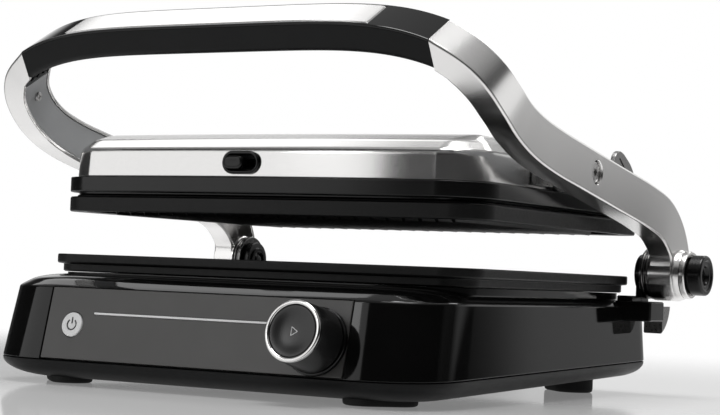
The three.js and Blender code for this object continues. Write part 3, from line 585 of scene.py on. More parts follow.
def build_housing():
    path = [
        (SEAM, 0.5, 0.5, REAR_RISE),
        (SEAM + 0.5, 0, 0, REAR_RISE),
        (DECK_EDGE - 1.6, 0),
        (DECK_EDGE - 0.1, 1.7),
        (DECK_EDGE + 3.4, 6.5),
        (DECK_TOP - 1.4, 14),
        (DECK_TOP, 28),
    ]
    housing = stack("upper_casing", base_shape, path, [0, 0.3, 0.9, 1.1, 3, 6, 0])
    hollow = stack("hollow", base_shape, [
        (SEAM - 1, 4, 4, REAR_RISE), (DECK_EDGE - 4, 4), (DECK_TOP - 2.6, 32),
    ])
    rings = []
    for h, flare in ((-PANEL_THICK - GAP, 0), (-0.5, 0), (0.6, RECESS_FLARE), (8, RECESS_FLARE)):
        side, top = (size + PANEL_CLEARANCE + flare for size in (PANEL_HALF, PANEL_HEIGHT))
        rings.append(moved([(*p, h) for p in rectangle(-side, side, -2, top)], PANEL_PLANE))
    recess = loft("recess", rings)
    window = block(8 - PANEL_HALF, PANEL_HALF - 8, 5, PANEL_HEIGHT - 7, -30, 0, PANEL_PLANE)
    tray = block(-118, 118, 24, 226, DECK_TOP - 12, DECK_TOP + 2)
    cord_hole = rod(-30, 30, 6.9, at_place(CORD_X, BASE_REAR, CORD_Z, -math.pi / 2))
    pocket = hinge_block(GAP, 8)
    other = mirrored(pocket, "pocket_left")
    vents = [block(x - 10, x + 10, BASE_REAR - 8, BASE_REAR + 5, z, z + 2.2)
             for x in (-30, 0, 30, 60) for z in (36, 42, 48)]
    cut(housing, hollow, recess, window, tray, cord_hole, pocket, other, *vents)
    show(housing, "base", "gloss_black", ["base_housing"], sharp=25)


def build_feet():
    """An oval rubber foot lies across each corner, with a shallow recess in its underside."""
    for side, across in (("left", -1), ("right", 1)):
        for end, along, y in (("front", 1, FOOT_FRONT), ("rear", -1, FOOT_REAR)):
            top = PAN_FLOOR + FOOT_SINK + REAR_RISE * (y - PANEL_FOOT) / (BASE_REAR - PANEL_FOOT)
            where = at_place(across * FOOT_X, y, 0, across * along * math.pi / 4, "Z")
            path = soften([(0.0, -2.0), (0.6, -0.4), (2.4, 0), (top, 0)], [0, 0.8, 0.8, 0])
            foot = oval_stack(f"foot_pad_{end}_{side}", FOOT_HALF, FOOT_RADIUS, path, where)
            cut(foot, oval_stack("dish", FOOT_HALF, FOOT_RADIUS, [(-1, -7), (1.1, -7.6)], where))
            show(foot, "base", "rubber", [f"foot_{end}_{side}"])


def build_gland():
    back = at_place(CORD_X, BASE_REAR + GAP, CORD_Z, -math.pi / 2)
    ribs = []
    for i in range(3):
        h, crest, valley = 4.2 + 2.6 * i, 8.2 - 0.4 * i, 6.8 - 0.3 * i
        ribs += [(crest, h), (crest, h + 1.4), (valley, h + 1.6), (valley, h + 2.4)]
    outer = [(11, 0), (11, 3), (8.6, 4), *ribs, (5.8, 12)]
    profile = [(4, -6), (6.6, -6), (6.6, 0), *outer, (4, 12), (4, -6)]
    gland = lathe("cord_inlet", profile, [0, *[0.35] * (len(profile) - 2), 0], back, 2)
    show(gland, "base", "matt_black", ["cord_gland"])


# ---------------- control panel


def build_panel():
    panel = block(-PANEL_HALF, PANEL_HALF, 1.1, PANEL_HEIGHT - 0.2, -PANEL_THICK, 0, PANEL_PLANE, 0.35)
    knob_hole = rod(-9, 9, 4.3, KNOB_PLACE)
    hole = POWER_RADIUS + GAP
    button_hole = lathe("hole", [
        (0, -9), (hole, -9), (hole, -0.4), (POWER_RADIUS + 0.8, 0.2), (POWER_RADIUS + 0.8, 9), (0, 9),
    ], [0, 0, 0.2, 0, 0, 0], POWER_PLACE)
    low, high = LINE_UP - LINE_WIDTH / 2, LINE_UP + LINE_WIDTH / 2
    groove = block(LINE_LEFT - GAP, LINE_RIGHT + GAP, low - GAP, high + GAP, -1, 1, PANEL_PLANE)
    cut(panel, knob_hole, button_hole, groove)
    show(named(panel, "panel_plate"), "base", "panel_grey", ["control_panel"])
    line = block(LINE_LEFT, LINE_RIGHT, low, high, -0.7, 0.35, PANEL_PLANE, 0.15, 2)
    show(named(line, "trim_line"), "base", "silver_trim", ["panel_line"])


def build_power_button():
    proud = 1.0
    button = lathe("power_disc", [
        (0, -PANEL_THICK - 1), (POWER_RADIUS, -PANEL_THICK - 1), (POWER_RADIUS, proud),
        (POWER_RADIUS * 0.8, proud), (0, proud - 0.35),
    ], [0, 0.3, 0.6, 0.8, 0], POWER_PLACE, 5)
    show(button, "power_button", "silver_trim", ["power_button"])
    low, high = proud - 0.5, proud + 0.05
    radius, stroke = 3.2, 0.36
    gap = math.radians(38)
    angles = np.linspace(math.pi / 2 + gap, 2.5 * math.pi - gap, 48)
    arc = [(r * math.cos(a), r * math.sin(a))
           for r, way in ((radius + stroke, 1), (radius - stroke, -1)) for a in angles[::way]]
    ring = prism(arc, low, high, POWER_PLACE)
    bar = block(-stroke, stroke, 0.6, radius + 1.2, low, high, POWER_PLACE)
    for piece, name in ((ring, "power_icon_ring"), (bar, "power_icon_bar")):
        show(named(piece, name), "power_button", "satin_black", finish="icon_black")


def build_knob():
    flange = lathe("dial_base", [
        (4.3, GAP), (KNOB_FLANGE, GAP), (KNOB_FLANGE, 3), (KNOB_SKIRT - 1, 3), (4.3, 3), (4.3, GAP),
    ], [0, 0.2, 1.0, 0, 0, 0], KNOB_PLACE, segments=96)
    show(flange, "base", "gloss_black", ["knob_flange"])
    reach = KNOB_REACH
    shaft = -PANEL_THICK - 9
    well = reach - 7
    skirt = lathe("dial_skirt", [
        (0, shaft), (3.9, shaft), (3.9, 3.6), (KNOB_SKIRT + 0.1, 3.6), (KNOB_SKIRT + 0.5, 4.2),
        (KNOB_RING, reach - 2.6), (KNOB_RING - 0.5, reach - 2.3), (KNOB_CAP + 0.2, reach - 2.3),
        (KNOB_CAP + 0.2, well), (0, well),
    ], [0, 0.2, 0, 0.5, 0.5, 0.3, 0, 0.2, 0, 0], KNOB_PLACE, 3, 128)
    show(skirt, "knob", "satin_black", ["knob_skirt"], finish="dial_black")
    inside = KNOB_CAP + GAP
    ring = lathe("dial_ring", [
        (inside, reach - 2.2), (KNOB_RING, reach - 2.2), (KNOB_RING, reach), (inside, reach),
        (inside, reach - 2.2),
    ], [0, 0.3, 1.1, 1.1, 0], KNOB_PLACE, 6, 128)
    show(ring, "knob", "chrome", ["knob_ring"])
    sink = reach - 7 + GAP + 1.5
    cap = lathe("start_cap", [
        (0, sink), (KNOB_CAP, sink), (KNOB_CAP, reach - 0.5), (KNOB_CAP * 0.86, reach - 0.7),
        (KNOB_CAP * 0.5, reach - 1.7), (0, reach - 2),
    ], [0, 0.3, 0.7, 1.6, 3, 0], KNOB_PLACE, 6, 96)
    show(cap, "start_button", "matt_black", ["start_button"], finish="dial_black")
    side, stroke = 2.9, 0.3
    corners = [np.array([side * math.cos(a), side * math.sin(a) * 1.08]) for a in np.radians([0, 120, 240])]
    low, high = reach - 2.6, reach - 1.78
    outer = soften(corners, 0.5, 3, closed=True)
    inner = soften([c * (1 - 2.1 * stroke / side) for c in corners], 0.25, 3, closed=True)
    rings = [moved([(*p, h) for p in ring], KNOB_PLACE)
             for ring, h in ((outer, low), (outer, high), (inner, high), (inner, low))]
    show(loft("start_icon", rings, closed=True), "start_button", "silver_trim", finish="icon_white")


# ---------------- plates


def plate_shape(shift):
    return {
        "half": PLATE_HALF,
        "front": shift,
        "rear": PLATE_DEPTH + shift,
        "front_radius": PLATE["corner"],
        "rear_radius": PLATE["corner"],
        "bow": PLATE["bow"],
    }


def ridge_bars(shift, floor, way, height):
    """Rounded ridges from front to back on the plate's floor, which face up or down."""
    half, near, far = RIDGE_HALF, RIDGE_MARGIN, PLATE_DEPTH - RIDGE_MARGIN
    profile = soften([
        (-half - 0.6, -0.6 * way), (half + 0.6, -0.6 * way), (half, 0), (half * 0.4, height * way),
        (-half * 0.4, height * way), (-half, 0),
    ], [0, 0, 0.5, 0.9, 0.9, 0.5], 4, closed=True)
    count = int((PLATE_HALF - RIDGE_MARGIN) // RIDGE_PITCH)
    bars = []
    for x in range(-count * RIDGE_PITCH, count * RIDGE_PITCH + 1, RIDGE_PITCH):
        rings = []
        for y, shrink in ((near, 0.25), (near + 3, 1), (far - 3, 1), (far, 0.25)):
            ring = [(x + p, floor + (h * shrink if h * way > 0 else h)) for p, h in profile]
            rings.append([(p, y + shift, h) for p, h in ring])
        bars.append(loft("bar", rings))
    return bars


def build_plate(name, node, body, face, way, shift, rim, step, ridge):
    """A cooking plate whose working face looks up (way 1) or down (way -1), stepped in above its rim."""
    def below_face(*levels):
        return [(face - way * depth, inset) for depth, inset in levels]

    def shape(z):
        return plate_shape(shift)

    thick, floor = PLATE["thick"], PLATE["well"]
    plate = stack(name, shape, below_face(
        (thick, step + 1), (thick - 0.6, step), (rim + 0.4, step), (rim, 0.5), (rim - 0.8, 0), (0, 0),
        (0, 3.4), (0.4, 8),
    ), [0, 0.4, 0.4, 0.4, 0.5, 1.3, 1.2, 0], 5)
    well = stack("well", shape, below_face((floor, 13), (floor - 0.2, 10.6), (-2, 8.4)), [0, 0.8, 0])
    join(cut(plate, well), *ridge_bars(shift, face - way * floor, way, ridge))
    show(plate, body, "nonstick", [node], sharp=38)


def build_seat():
    """The upstand on the deck that the lower plate rests over."""
    def ring(name, low, high, inset):
        return stack(name, lambda z: plate_shape(0), [(low, inset), (high, inset)])

    low, high = DECK_EDGE + 2.5, LOWER_TOP - PLATE["thick"] - GAP
    seat = ring("plate_seat", low, high, SEAT_INSET)
    cut(seat, ring("inside", low - 1, high + 1, SEAT_INSET + SEAT_WALL))
    show(seat, "base", "gloss_black")


# ---------------- upper unit


def cover_shape(z):
    return {
        "half": COVER_HALF,
        "front": UPPER_SHIFT - 0.5,
        "rear": UPPER_SHIFT + PLATE_DEPTH - 4,
        "front_radius": 27,
        "rear_radius": 22,
        "bow": PLATE["bow"],
    }


def latch_box(half, front, back, rise):
    """A block round the latch's middle."""
    return block(LATCH_X - half, LATCH_X + half, front, back, LATCH_Z - rise, LATCH_Z + rise)


def build_cover():
    cover = stack("lid_cover", cover_shape, [
        (COVER_BOTTOM, 0.5),
        (COVER_BOTTOM + 0.5, 0),
        (COVER_FACE + 0.1, 0.9),
        (COVER_BEVEL, 11, 7),
        (COVER_TOP - 0.8, 30, 13),
        (COVER_TOP + 0.9, 56, 30),
        (COVER_TOP + 1.2, 100, 70),
    ], [0, 0.4, 3.2, 2.8, 7, 14, 0], 8)
    hollow = stack("hollow", cover_shape, [
        (COVER_BOTTOM - 1, 2), (COVER_FACE - 1.4, 2.8), (COVER_BEVEL - 2, 14.4, 11),
        (COVER_TOP - 3.6, 40, 20),
    ])
    slot = latch_box(SLOT_HALF, -2, 14, SLOT_RISE)
    show(cut(cover, hollow, slot), "upper_unit", "brushed_steel", ["upper_cover"], sharp=40)

    out = COVER_HALF - BEZEL_HALF
    low = UPPER_BOTTOM + PLATE["thick"] + GAP
    high = COVER_BOTTOM - GAP
    bezel = stack("lid_bezel", cover_shape, [
        (low, out + 5), (low + 0.9, out + 4.6), (low + 1.1, out), (high, out), (high + 0.001, out + 3.2),
    ], [0, 0.3, 0.8, 0.7, 0], 4)
    mouth = stack("mouth", cover_shape, [(low - 1, 16), (high + 1, 16)])
    show(cut(bezel, mouth), "upper_unit", "satin_black", ["upper_bezel"], sharp=30)


def build_latch():
    face = UPPER_SHIFT - 0.5 - PLATE["bow"]
    outward = at_place(LATCH_X, face, LATCH_Z, math.pi / 2)
    rim = [(0.3, 0.0), (1.1, 0.0), (1.4, -0.5), (1.4, -1.5), (1.0, -1.9), (0.3, -2.6), (-0.9, -2.8)]
    plate = oval_stack("latch_plate", LATCH_HALF, LATCH_RADIUS, rim, outward)
    slot = oval_stack("slot", LATCH_HALF - 1.6, THUMB_RADIUS + 0.4, [(-6, 0), (6, 0)], outward)
    show(cut(plate, slot), "upper_unit", "gloss_black", ["latch_escutcheon"])
    guide = cut(latch_box(14, face + 5.2, face + 6.4, 5.2), latch_box(8.2, face + 4, face + 8, 2.5))
    show(named(guide, "latch_guide"), "upper_unit", "matt_black")
    rim = [(0.4, 0.0), (2.2, 0.0), (2.9, -0.35), (3.3, -1.1), (3.4, -2.0), (3.2, -3.4)]
    middle = LATCH_X - LATCH_TRAVEL / 2 - 0.2
    where = at_place(middle, face, LATCH_Z, math.pi / 2)
    thumb = oval_stack("latch_thumb", THUMB_HALF, THUMB_RADIUS, rim, where)
    stem = block(middle - 3, middle + 3, face - 0.6, face + 9, LATCH_Z - 2.1, LATCH_Z + 2.1)
    show(join(thumb, stem), "latch", "satin_black", ["latch_slider"])


def build_side_brackets():
    inner = COVER_HALF + GAP
    profile = soften([
        (PIVOT_Y - 32, COVER_BOTTOM + 2), (236, COVER_BOTTOM + 2), (238, 146), (231, 152), (219, 158),
        (212, 159.5), (206, 157), (201, 147), (PIVOT_Y + 26, 145), (PIVOT_Y - 24, 145), (PIVOT_Y - 32, 138),
    ], [1, 2, 3, 3, 3, 3, 3, 6, 2, 4, 4], 4, closed=True)
    side = loft("side_bracket", [[(x, y, z) for y, z in profile] for x in (inner, inner + 3.2)])
    side = bevelled(side, 0.5)
    boss = rod(inner + 1, 157.9, PIVOT_BOSS, PIVOT_LINE, 0.6)
    hole = rod(140, 160, PIVOT_HOLE, PIVOT_LINE)
    corners = ((211, 154), (213, 154.6), (222, 148.6), (220.4, 147.6))
    slit = loft("slit", [[(x, y, z) for y, z in corners] for x in (140, 160)])
    pair(cut(join(side, boss), hole, slit), "lid_bracket", "upper_unit", "grey_metal", "side_bracket")
    outer = PIVOT_OUTER
    drive = []
    for k in range(12):
        radius, angle = 5.2 * (0.55 if k % 2 else 0.36), k * math.pi / 6
        drive.append((radius * math.cos(angle), radius * math.sin(angle)))
    screw = lathe("pivot_screw", [
        (0, inner + 0.6), (4, inner + 0.6), (4, outer - 4.4), (6.9, outer - 4.4), (6.9, outer - 1.6),
        (0, outer - 1.3),
    ], [0, 0.4, 0, 0.2, 1.2, 0], PIVOT_LINE)
    socket = prism(drive, outer - 3.4, outer + 1, PIVOT_LINE)
    pair(cut(screw, socket), "lid_pivot", "upper_unit", "screw_steel", "pivot_screw")


# ---------------- grip and arms


def spline(points, t, centripetal):
    """A Catmull-Rom curve through the points, at a share of its length in spans."""
    count = len(points)
    span = min(max(t, 0.0), 1.0) * (count - 1)
    i = min(int(span), count - 2)
    u = span - i
    p1, p2 = points[i], points[i + 1]
    p0 = points[i - 1] if i > 0 else 2 * p1 - p2
    p3 = points[i + 2] if i + 2 < count else 2 * p2 - p1
    if centripetal:
        d0, d1, d2 = (max(np.linalg.norm(b - a), 1e-8) ** 0.5 for a, b in ((p0, p1), (p1, p2), (p2, p3)))
        m1 = d1 * ((p1 - p0) / d0 - (p2 - p0) / (d0 + d1) + (p2 - p1) / d1)
        m2 = d1 * ((p2 - p1) / d1 - (p3 - p1) / (d1 + d2) + (p3 - p2) / d2)
    else:
        m1, m2 = 0.5 * (p2 - p0), 0.5 * (p3 - p1)
    return (p1 + m1 * u + (-3 * p1 + 3 * p2 - 2 * m1 - m2) * u ** 2 + (2 * p1 - 2 * p2 + m1 + m2) * u ** 3)


def arm_station(t):
    """Centre, width direction, outward direction and half width of the right arm."""
    centre = spline(ARM_PATH[:, :3], t, True)
    after, before = (spline(ARM_PATH[:, :3], at, True) for at in (min(t + 1e-4, 1), max(t - 1e-4, 0)))
    ahead = after - before
    degrees, half = spline(ARM_PATH[:, 3:], t, False)
    angle = math.radians(degrees)
    width = np.array([0, math.cos(angle), math.sin(angle)])
    square = np.cross(ahead / np.linalg.norm(ahead), width)
    square /= np.linalg.norm(square)
    matched = np.array([0, -math.sin(GRIP_TILT), math.cos(GRIP_TILT)]) * BAR_THICK / ARM_THICK
    share = min(t / 0.1, 1)
    share = share * share * (3 - 2 * share)
    return centre, width, matched * (1 - share) + square * share, half


def find_along_arm(y):
    """Where along the right arm its centre line reaches y."""
    low, high = 0.0, 1.0
    for _ in range(40):
        middle = (low + high) / 2
        if spline(ARM_PATH[:, :3], middle, True)[1] < y:
            low = middle
        else:
            high = middle
    return low


# Shares of the arm's length where its front slot starts and ends, and where the lining's screw is.
SLOT_START, SLOT_END, SCREW_AT = 0.006, 0.085, 0.17
ARM_END = arm_station(1)[0][0] + ARM_THICK / 2
PIVOT_OUTER = arm_station(find_along_arm(PIVOT_Y))[0][0] + ARM_THICK / 2


def arm_bar(name, section, start, end, steps):
    """A bar along the right arm whose section depends on its half width there."""
    rings = []
    for t in np.linspace(start, end, steps + 1):
        centre, width, normal, half = arm_station(t)
        rings.append([centre + p[0] * width + p[1] * normal for p in section(half)])
    return loft(name, rings)


def grip_station(x):
    drop = GRIP_DROP * (abs(x) / GRIP_HALF) ** GRIP_ORDER
    down = np.array([0, math.sin(GRIP_TILT), -math.cos(GRIP_TILT)])
    centre = np.array([x, GRIP_Y, GRIP_Z]) + down * drop
    return centre, np.array([0, math.cos(GRIP_TILT), math.sin(GRIP_TILT)]), -down


def grip_bar(name, section, start, end, steps):
    rings = []
    for x in np.linspace(start, end, steps + 1):
        centre, width, normal = grip_station(x)
        rings.append([centre + p[0] * width + p[1] * normal for p in section])
    return loft(name, rings)


def build_grip():
    w, t = BAR_WIDTH / 2, BAR_THICK / 2
    band_low = t - 1.5
    end = GRIP_HALF - GAP
    body = soften(rectangle(-w, w, -t, band_low - 0.1), [4.4, 4.4, 0.2, 0.2], 6, closed=True)
    show(grip_bar("grip_lower", body, -end, end, 96), "arms", "matt_black", ["grip_body"], sharp=30)
    band = soften(rectangle(-w, w, band_low, t), [0.2, 0.2, 1.2, 1.2], 6, closed=True)
    half, deep = INSET_WIDTH / 2, t - 0.8
    recess = rectangle(-half - GAP, half + GAP, deep - GAP, t + 3)
    sink = grip_bar("sink", recess, INSET_LEFT - GAP, INSET_RIGHT + GAP, 40)
    band = cut(grip_bar("grip_upper", band, -end, end, 96), sink)
    show(band, "arms", "gloss_black", ["grip_band"], sharp=30)
    edge = 0.7
    rings = []
    for h, draw in ((deep, 0), (t + 0.3 - edge, 0), (t + 0.3, edge)):
        ring_points = []
        corners = rectangle(INSET_LEFT + draw, INSET_RIGHT - draw, -half + draw, half - draw)
        corners = soften(corners, 2.2, 5, closed=True)
        dense = []
        for a, b in zip(corners, corners[1:] + corners[:1]):
            parts = max(int(np.linalg.norm(b - a) // 6), 1)
            dense += [a + (b - a) * k / parts for k in range(parts)]
        for x, v in dense:
            centre, width, normal = grip_station(x)
            ring_points.append(centre + v * width + h * normal)
        rings.append(ring_points)
    inset = curved_sheet("grip_plate", rings, half - edge)
    show(inset, "arms", "brushed_steel", ["grip_inset"], sharp=30)


def curved_sheet(name, rings, half):
    """A loft whose wide last ring is closed by strips across it, so that it follows the grip's curve."""
    count = len(rings[0])
    faces = sides(rings)
    for base, ring in ((0, rings[0]), ((len(rings) - 1) * count, rings[-1])):
        order = sorted(range(count), key=lambda i: ring[i][0])
        across = grip_station(0)[1]
        low = [i for i in order if (ring[i] - grip_station(ring[i][0])[0]) @ across < 0]
        high = [i for i in order if i not in low]
        a, b = 0, 0
        while a < len(low) - 1 or b < len(high) - 1:
            high_done = b == len(high) - 1
            if a < len(low) - 1 and (high_done or ring[low[a + 1]][0] <= ring[high[b + 1]][0]):
                faces.append((base + low[a], base + low[a + 1], base + high[b]))
                a += 1
            else:
                faces.append((base + low[a], base + high[b + 1], base + high[b]))
                b += 1
    return solid(name, np.concatenate(rings), faces)


def build_arms():
    t, wall = ARM_THICK / 2, ARM_WALL

    def channel(w):
        return soften([
            (-w, -t), (-w + wall, -t), (-w + wall, t - wall), (w - wall, t - wall), (w - wall, -t), (w, -t),
            (w, t), (-w, t),
        ], [0.7, 0.3, 0.8, 0.8, 0.3, 0.7, 1.7, 1.7], 4, closed=True)

    def strip(w):
        side = w - wall - 0.35
        return soften(rectangle(-side, side, -t + 0.4, -t + 2.4), 0.4, 2, closed=True)

    hub_in = FLANGE_OUT + GAP
    arm = arm_bar("arm", channel, 0, 1, 150)
    boss = rod(hub_in + 0.6, PIVOT_OUTER - 0.5, PIVOT_BOSS, PIVOT_LINE, 0.4)
    lug = rod(hub_in, ARM_END, LUG, HINGE_LINE, 1.4)
    arm = join(arm, boss, lug)
    tools = [
        block(140, hub_in, 228, 300, 40, 101),
        rod(140, 200, PIVOT_HOLE, PIVOT_LINE),
        lathe("bore", [
            (0, PIVOT_OUTER - 4.8), (7.2, PIVOT_OUTER - 4.8), (7.2, PIVOT_OUTER - 0.5),
            (8.2, PIVOT_OUTER + 0.5), (8.2, 200), (0, 200),
        ], 0, PIVOT_LINE),
        rod(140, 200, AXLE_BORE, HINGE_LINE),
    ]
    arm = cut(arm, *tools)
    left = mirrored(arm, "arm_left_bar")
    end = COLLAR_X - 4
    barrel = lathe("barrel", [
        (0, ARM_END - 1), (LUG - 0.6, ARM_END - 1), (COLLAR_RADIUS + 1.2, ARM_END + 1),
        (COLLAR_RADIUS, ARM_END + 3.4), (COLLAR_RADIUS, end), (0, end),
    ], [0, 0, 1.2, 1.6, 0.3, 0], HINGE_LINE)
    well = rod(COLLAR_X - 12, 200, CAP_RADIUS - 0.9, HINGE_LINE)
    right = named(cut(join(arm, barrel), well), "arm_right_bar")
    show(right, "arms", "polished_aluminium", ["arm_right"], sharp=30)
    plug_well = rod(-200, 4 - ARM_END, 12.3, HINGE_LINE)
    show(cut(left, plug_well), "arms", "polished_aluminium", ["arm_left"], sharp=30)

    spread = PIVOT_BOSS + 1
    front = arm_bar("front_strip", strip, SLOT_END, find_along_arm(PIVOT_Y - spread), 80)
    pair(front, "arm_lining_front", "arms", "mid_grey", "arm_cover_front")
    rear = arm_bar("rear_strip", strip, find_along_arm(PIVOT_Y + spread), find_along_arm(222), 40)
    pair(rear, "arm_lining_rear", "arms", "mid_grey", "arm_cover_rear")

    def core(w):
        side = w - wall - 0.5
        return rectangle(-side, side, -t + 3.2, t - wall - 0.4)

    filler = arm_bar("grip_tenon_right", core, 0.001, SLOT_END + 0.004, 6)
    centre, width, normal, half = arm_station(SLOT_START)
    ahead = arm_station(SLOT_END)[0] - centre
    for k in range(4):
        spot = -half + wall + 3 + k * (2 * half - 2 * wall - 6) / 3
        corners = []
        for along in (0.0, 0.95):
            for side in (-1.0, 1.0):
                for depth in (-t + 1.2, -t + 3.6):
                    corners.append(centre + ahead * along + width * (spot + side) + normal * depth)
        filler = join(filler, solid("rib", corners, BOX_FACES))
    other = mirrored(filler, "grip_tenon_left")
    show(filler, "arms", "matt_black")
    show(other, "arms", "matt_black")

    centre, width, normal, half = arm_station(SCREW_AT)
    seat = centre + normal * (-t + 0.4 - GAP)
    where = Matrix.Identity(4)
    for column, way in enumerate((width, np.cross(normal, width), -normal, seat)):
        where.col[column].xyz = way
    head = lathe("lining_screw", [(0, 0), (2.9, 0), (2.9, 1.2), (0, 1.35)], [0, 0.1, 0.7, 0], where, 4, 48)
    cross = [block(-x, x, -y, y, 0.5, 2, where) for x, y in ((1.6, 0.35), (0.35, 1.6))]
    pair(cut(head, *cross), "lining_screw", "arms", "screw_steel", "arm_cover_screw")


# ---------------- hinges


def build_hinges():
    bracket = hinge_block(edge=1.2)
    shelf = block(BLOCK_IN, CHEEK_OUT, HINGE_Y - 25, BLOCK_BACK - 5, 60, 65.4, edge=0.8)
    post = block(CHEEK_IN, CHEEK_OUT, HINGE_Y - 9, BLOCK_BACK + 8, 52, HINGE_Z, edge=0.6)
    inner = CHEEK_IN
    cheek = lathe("cheek", [
        (0, inner - 1.4), (3, inner - 1.4), (3, inner - 0.4), (6, inner - 0.4), (6, inner - 1.6),
        (8.6, inner - 1.6), (8.6, inner - 0.2), (12.7, inner), (12.7, CHEEK_OUT), (0, CHEEK_OUT),
    ], [0, 0.2, 0.2, 0.2, 0.4, 0.4, 0.4, 0.8, 0.4, 0], HINGE_LINE, 3)
    bracket = cut(join(bracket, shelf, post, cheek), rod(CHEEK_IN - 1, 160, AXLE_BORE, HINGE_LINE))
    pair(bracket, "hinge_carrier", "base", "satin_black", "hinge_bracket", sharp=30)

    where = along_x(SADDLE_Y, SADDLE_Z)
    saddle = rod(CHEEK_OUT + GAP, BLOCK_OUT - 1, SADDLE_RADIUS, where, 1.2, 96, 4)
    tools = [
        hinge_block(GAP, 40),
        rod(150, 180, LUG + 1, HINGE_LINE, segments=96),
        block(150, 180, 180, BLOCK_BACK + GAP, 0, 100),
        block(150, 180, 180, 300, BLOCK_TOP - 3, 100),
    ]
    pair(cut(saddle, *tools), "hinge_heel", "base", "grey_metal", "hinge_saddle", sharp=30)

    end = ARM_END - 4.6
    axle = lathe("axle", [
        (0, inner + 0.6), (5, inner + 0.6), (5, CHEEK_OUT + GAP), (16.7, CHEEK_OUT + GAP),
        (16.7, CHEEK_OUT + 2.6), (15.4, CHEEK_OUT + 2.9), (15.4, FLANGE_OUT - 1.8),
        (16.7, FLANGE_OUT - 1.5), (16.7, FLANGE_OUT), (5, FLANGE_OUT), (5, end), (0, end),
    ], [0, 0.5, 0, 0.6, 0.6, 0.3, 0.3, 0.6, 0.6, 0, 0.5, 0], HINGE_LINE, 3)
    pair(axle, "hinge_spindle", "lid_axle", "dark_metal", "hinge_axle")

    collar = lathe("cap_collar", [
        (CAP_RADIUS + GAP, -3.7), (COLLAR_RADIUS, -3.7), (COLLAR_RADIUS, 0), (CAP_RADIUS + GAP, 0),
        (CAP_RADIUS + GAP, -3.7),
    ], [0, 0.3, 1.2, 0.5, 0], along_x(HINGE_Y, HINGE_Z, COLLAR_X), 5, 96)
    show(collar, "arms", "chrome", ["hinge_collar"], finish="polished_aluminium")

    inner = COLLAR_X - 12 + GAP + 3
    cap = lathe("release_button", [
        (0, inner), (CAP_RADIUS - 1.2, inner), (CAP_RADIUS - 1.2, COLLAR_X + 1),
        (CAP_RADIUS, COLLAR_X + 1.4), (CAP_RADIUS, CAP_X), (10.2, CAP_X), (9.4, CAP_X - 0.9),
        (6.6, CAP_X - 0.9), (5.6, CAP_X - 3.4), (0, CAP_X - 3.8),
    ], [0, 0.3, 0, 0.3, 1.6, 0.4, 0.5, 0.7, 1, 0], HINGE_LINE, 5, 96)
    show(cap, "release_cap", "satin_black", ["release_cap"])

    end = -ARM_END
    plug = lathe("blank_plug", [
        (0, end - 0.6), (9, end - 0.6), (10.5, end + 0.2), (12, end + 0.4), (12, end + 3.4), (0, end + 3.4),
    ], [0, 0.6, 0.5, 0.5, 0.2, 0], HINGE_LINE)
    show(plug, "arms", "satin_black", ["hinge_plug"])


def finish_inner_nodes():
    """The pieces inside the casings keep their shape and take their slot's finish."""
    slots = {row["node"]: row["material_slot"] for row in frame["record"]["subparts"]}
    for name, piece in frame["nodes"].items():
        piece.data.materials.clear()
        piece.data.materials.append(FINISHES[slots[name]])


# ---------------- stage

MIX_COLOUR_INPUTS, MIX_COLOUR_OUTPUT = (0, 6, 7), 2


def area_light(name, place, target, size, power):
    """A soft box that faces its target. Size is in metres and power in watts."""
    data = bpy.data.lights.new(name, "AREA")
    data.shape = "RECTANGLE"
    data.size, data.size_y = size
    data.energy = power
    lamp = bpy.data.objects.new(name, data)
    lamp.location = place
    lamp.rotation_mode = "QUATERNION"
    lamp.rotation_quaternion = (Vector(target) - Vector(place)).to_track_quat("-Z", "Y")
    bpy.context.scene.collection.objects.link(lamp)


def build_floor():
    """A pale, faintly glossy sweep that fades into the white background away from the machine."""
    bpy.ops.mesh.primitive_circle_add(vertices=96, radius=3.0, fill_type="NGON", location=(0, 0, 0))
    floor = bpy.context.object
    floor.name = "floor"
    white = (1, 1, 1, 1)
    nodes = Nodes("pale_floor", Base_Color=(0.74, 0.74, 0.74, 1), Roughness=0.07)
    length = add_node(nodes.tree, "VectorMath", Vector=nodes.place)
    length.operation = "LENGTH"
    fade = add_node(nodes.tree, "MapRange", From_Min=0.3, From_Max=0.95, To_Min=1, To_Max=0)
    fade.interpolation_type = "SMOOTHSTEP"
    feed(fade, Value=length.outputs["Value"])
    feed(nodes.shader, Emission_Color=white, Emission_Strength=0.17, Alpha=fade.outputs["Result"])
    floor.data.materials.append(nodes.material)


def grey_ramp(tree, source, *stops):
    """Greys at places of the source, which runs from -1 to 1."""
    spread = add_node(tree, "MapRange", Value=source, From_Min=-1, From_Max=1)
    ramp = add_node(tree, "ValToRGB", Fac=spread.outputs["Result"])
    elements = ramp.color_ramp.elements
    while len(elements) < len(stops):
        elements.new(0.5)
    for element, (position, grey) in zip(elements, stops):
        element.position = (position + 1) / 2
        element.color = (grey, grey, grey, 1)
    return ramp.outputs["Color"]


def mixed(tree, share, first, second):
    """The first colour where the share is 0, and the second where it is 1."""
    node = add_node(tree, "Mix")
    node.data_type = "RGBA"
    for source, place in zip((share, first, second), MIX_COLOUR_INPUTS):
        tree.links.new(source, node.inputs[place])
    return node.outputs[MIX_COLOUR_OUTPUT]


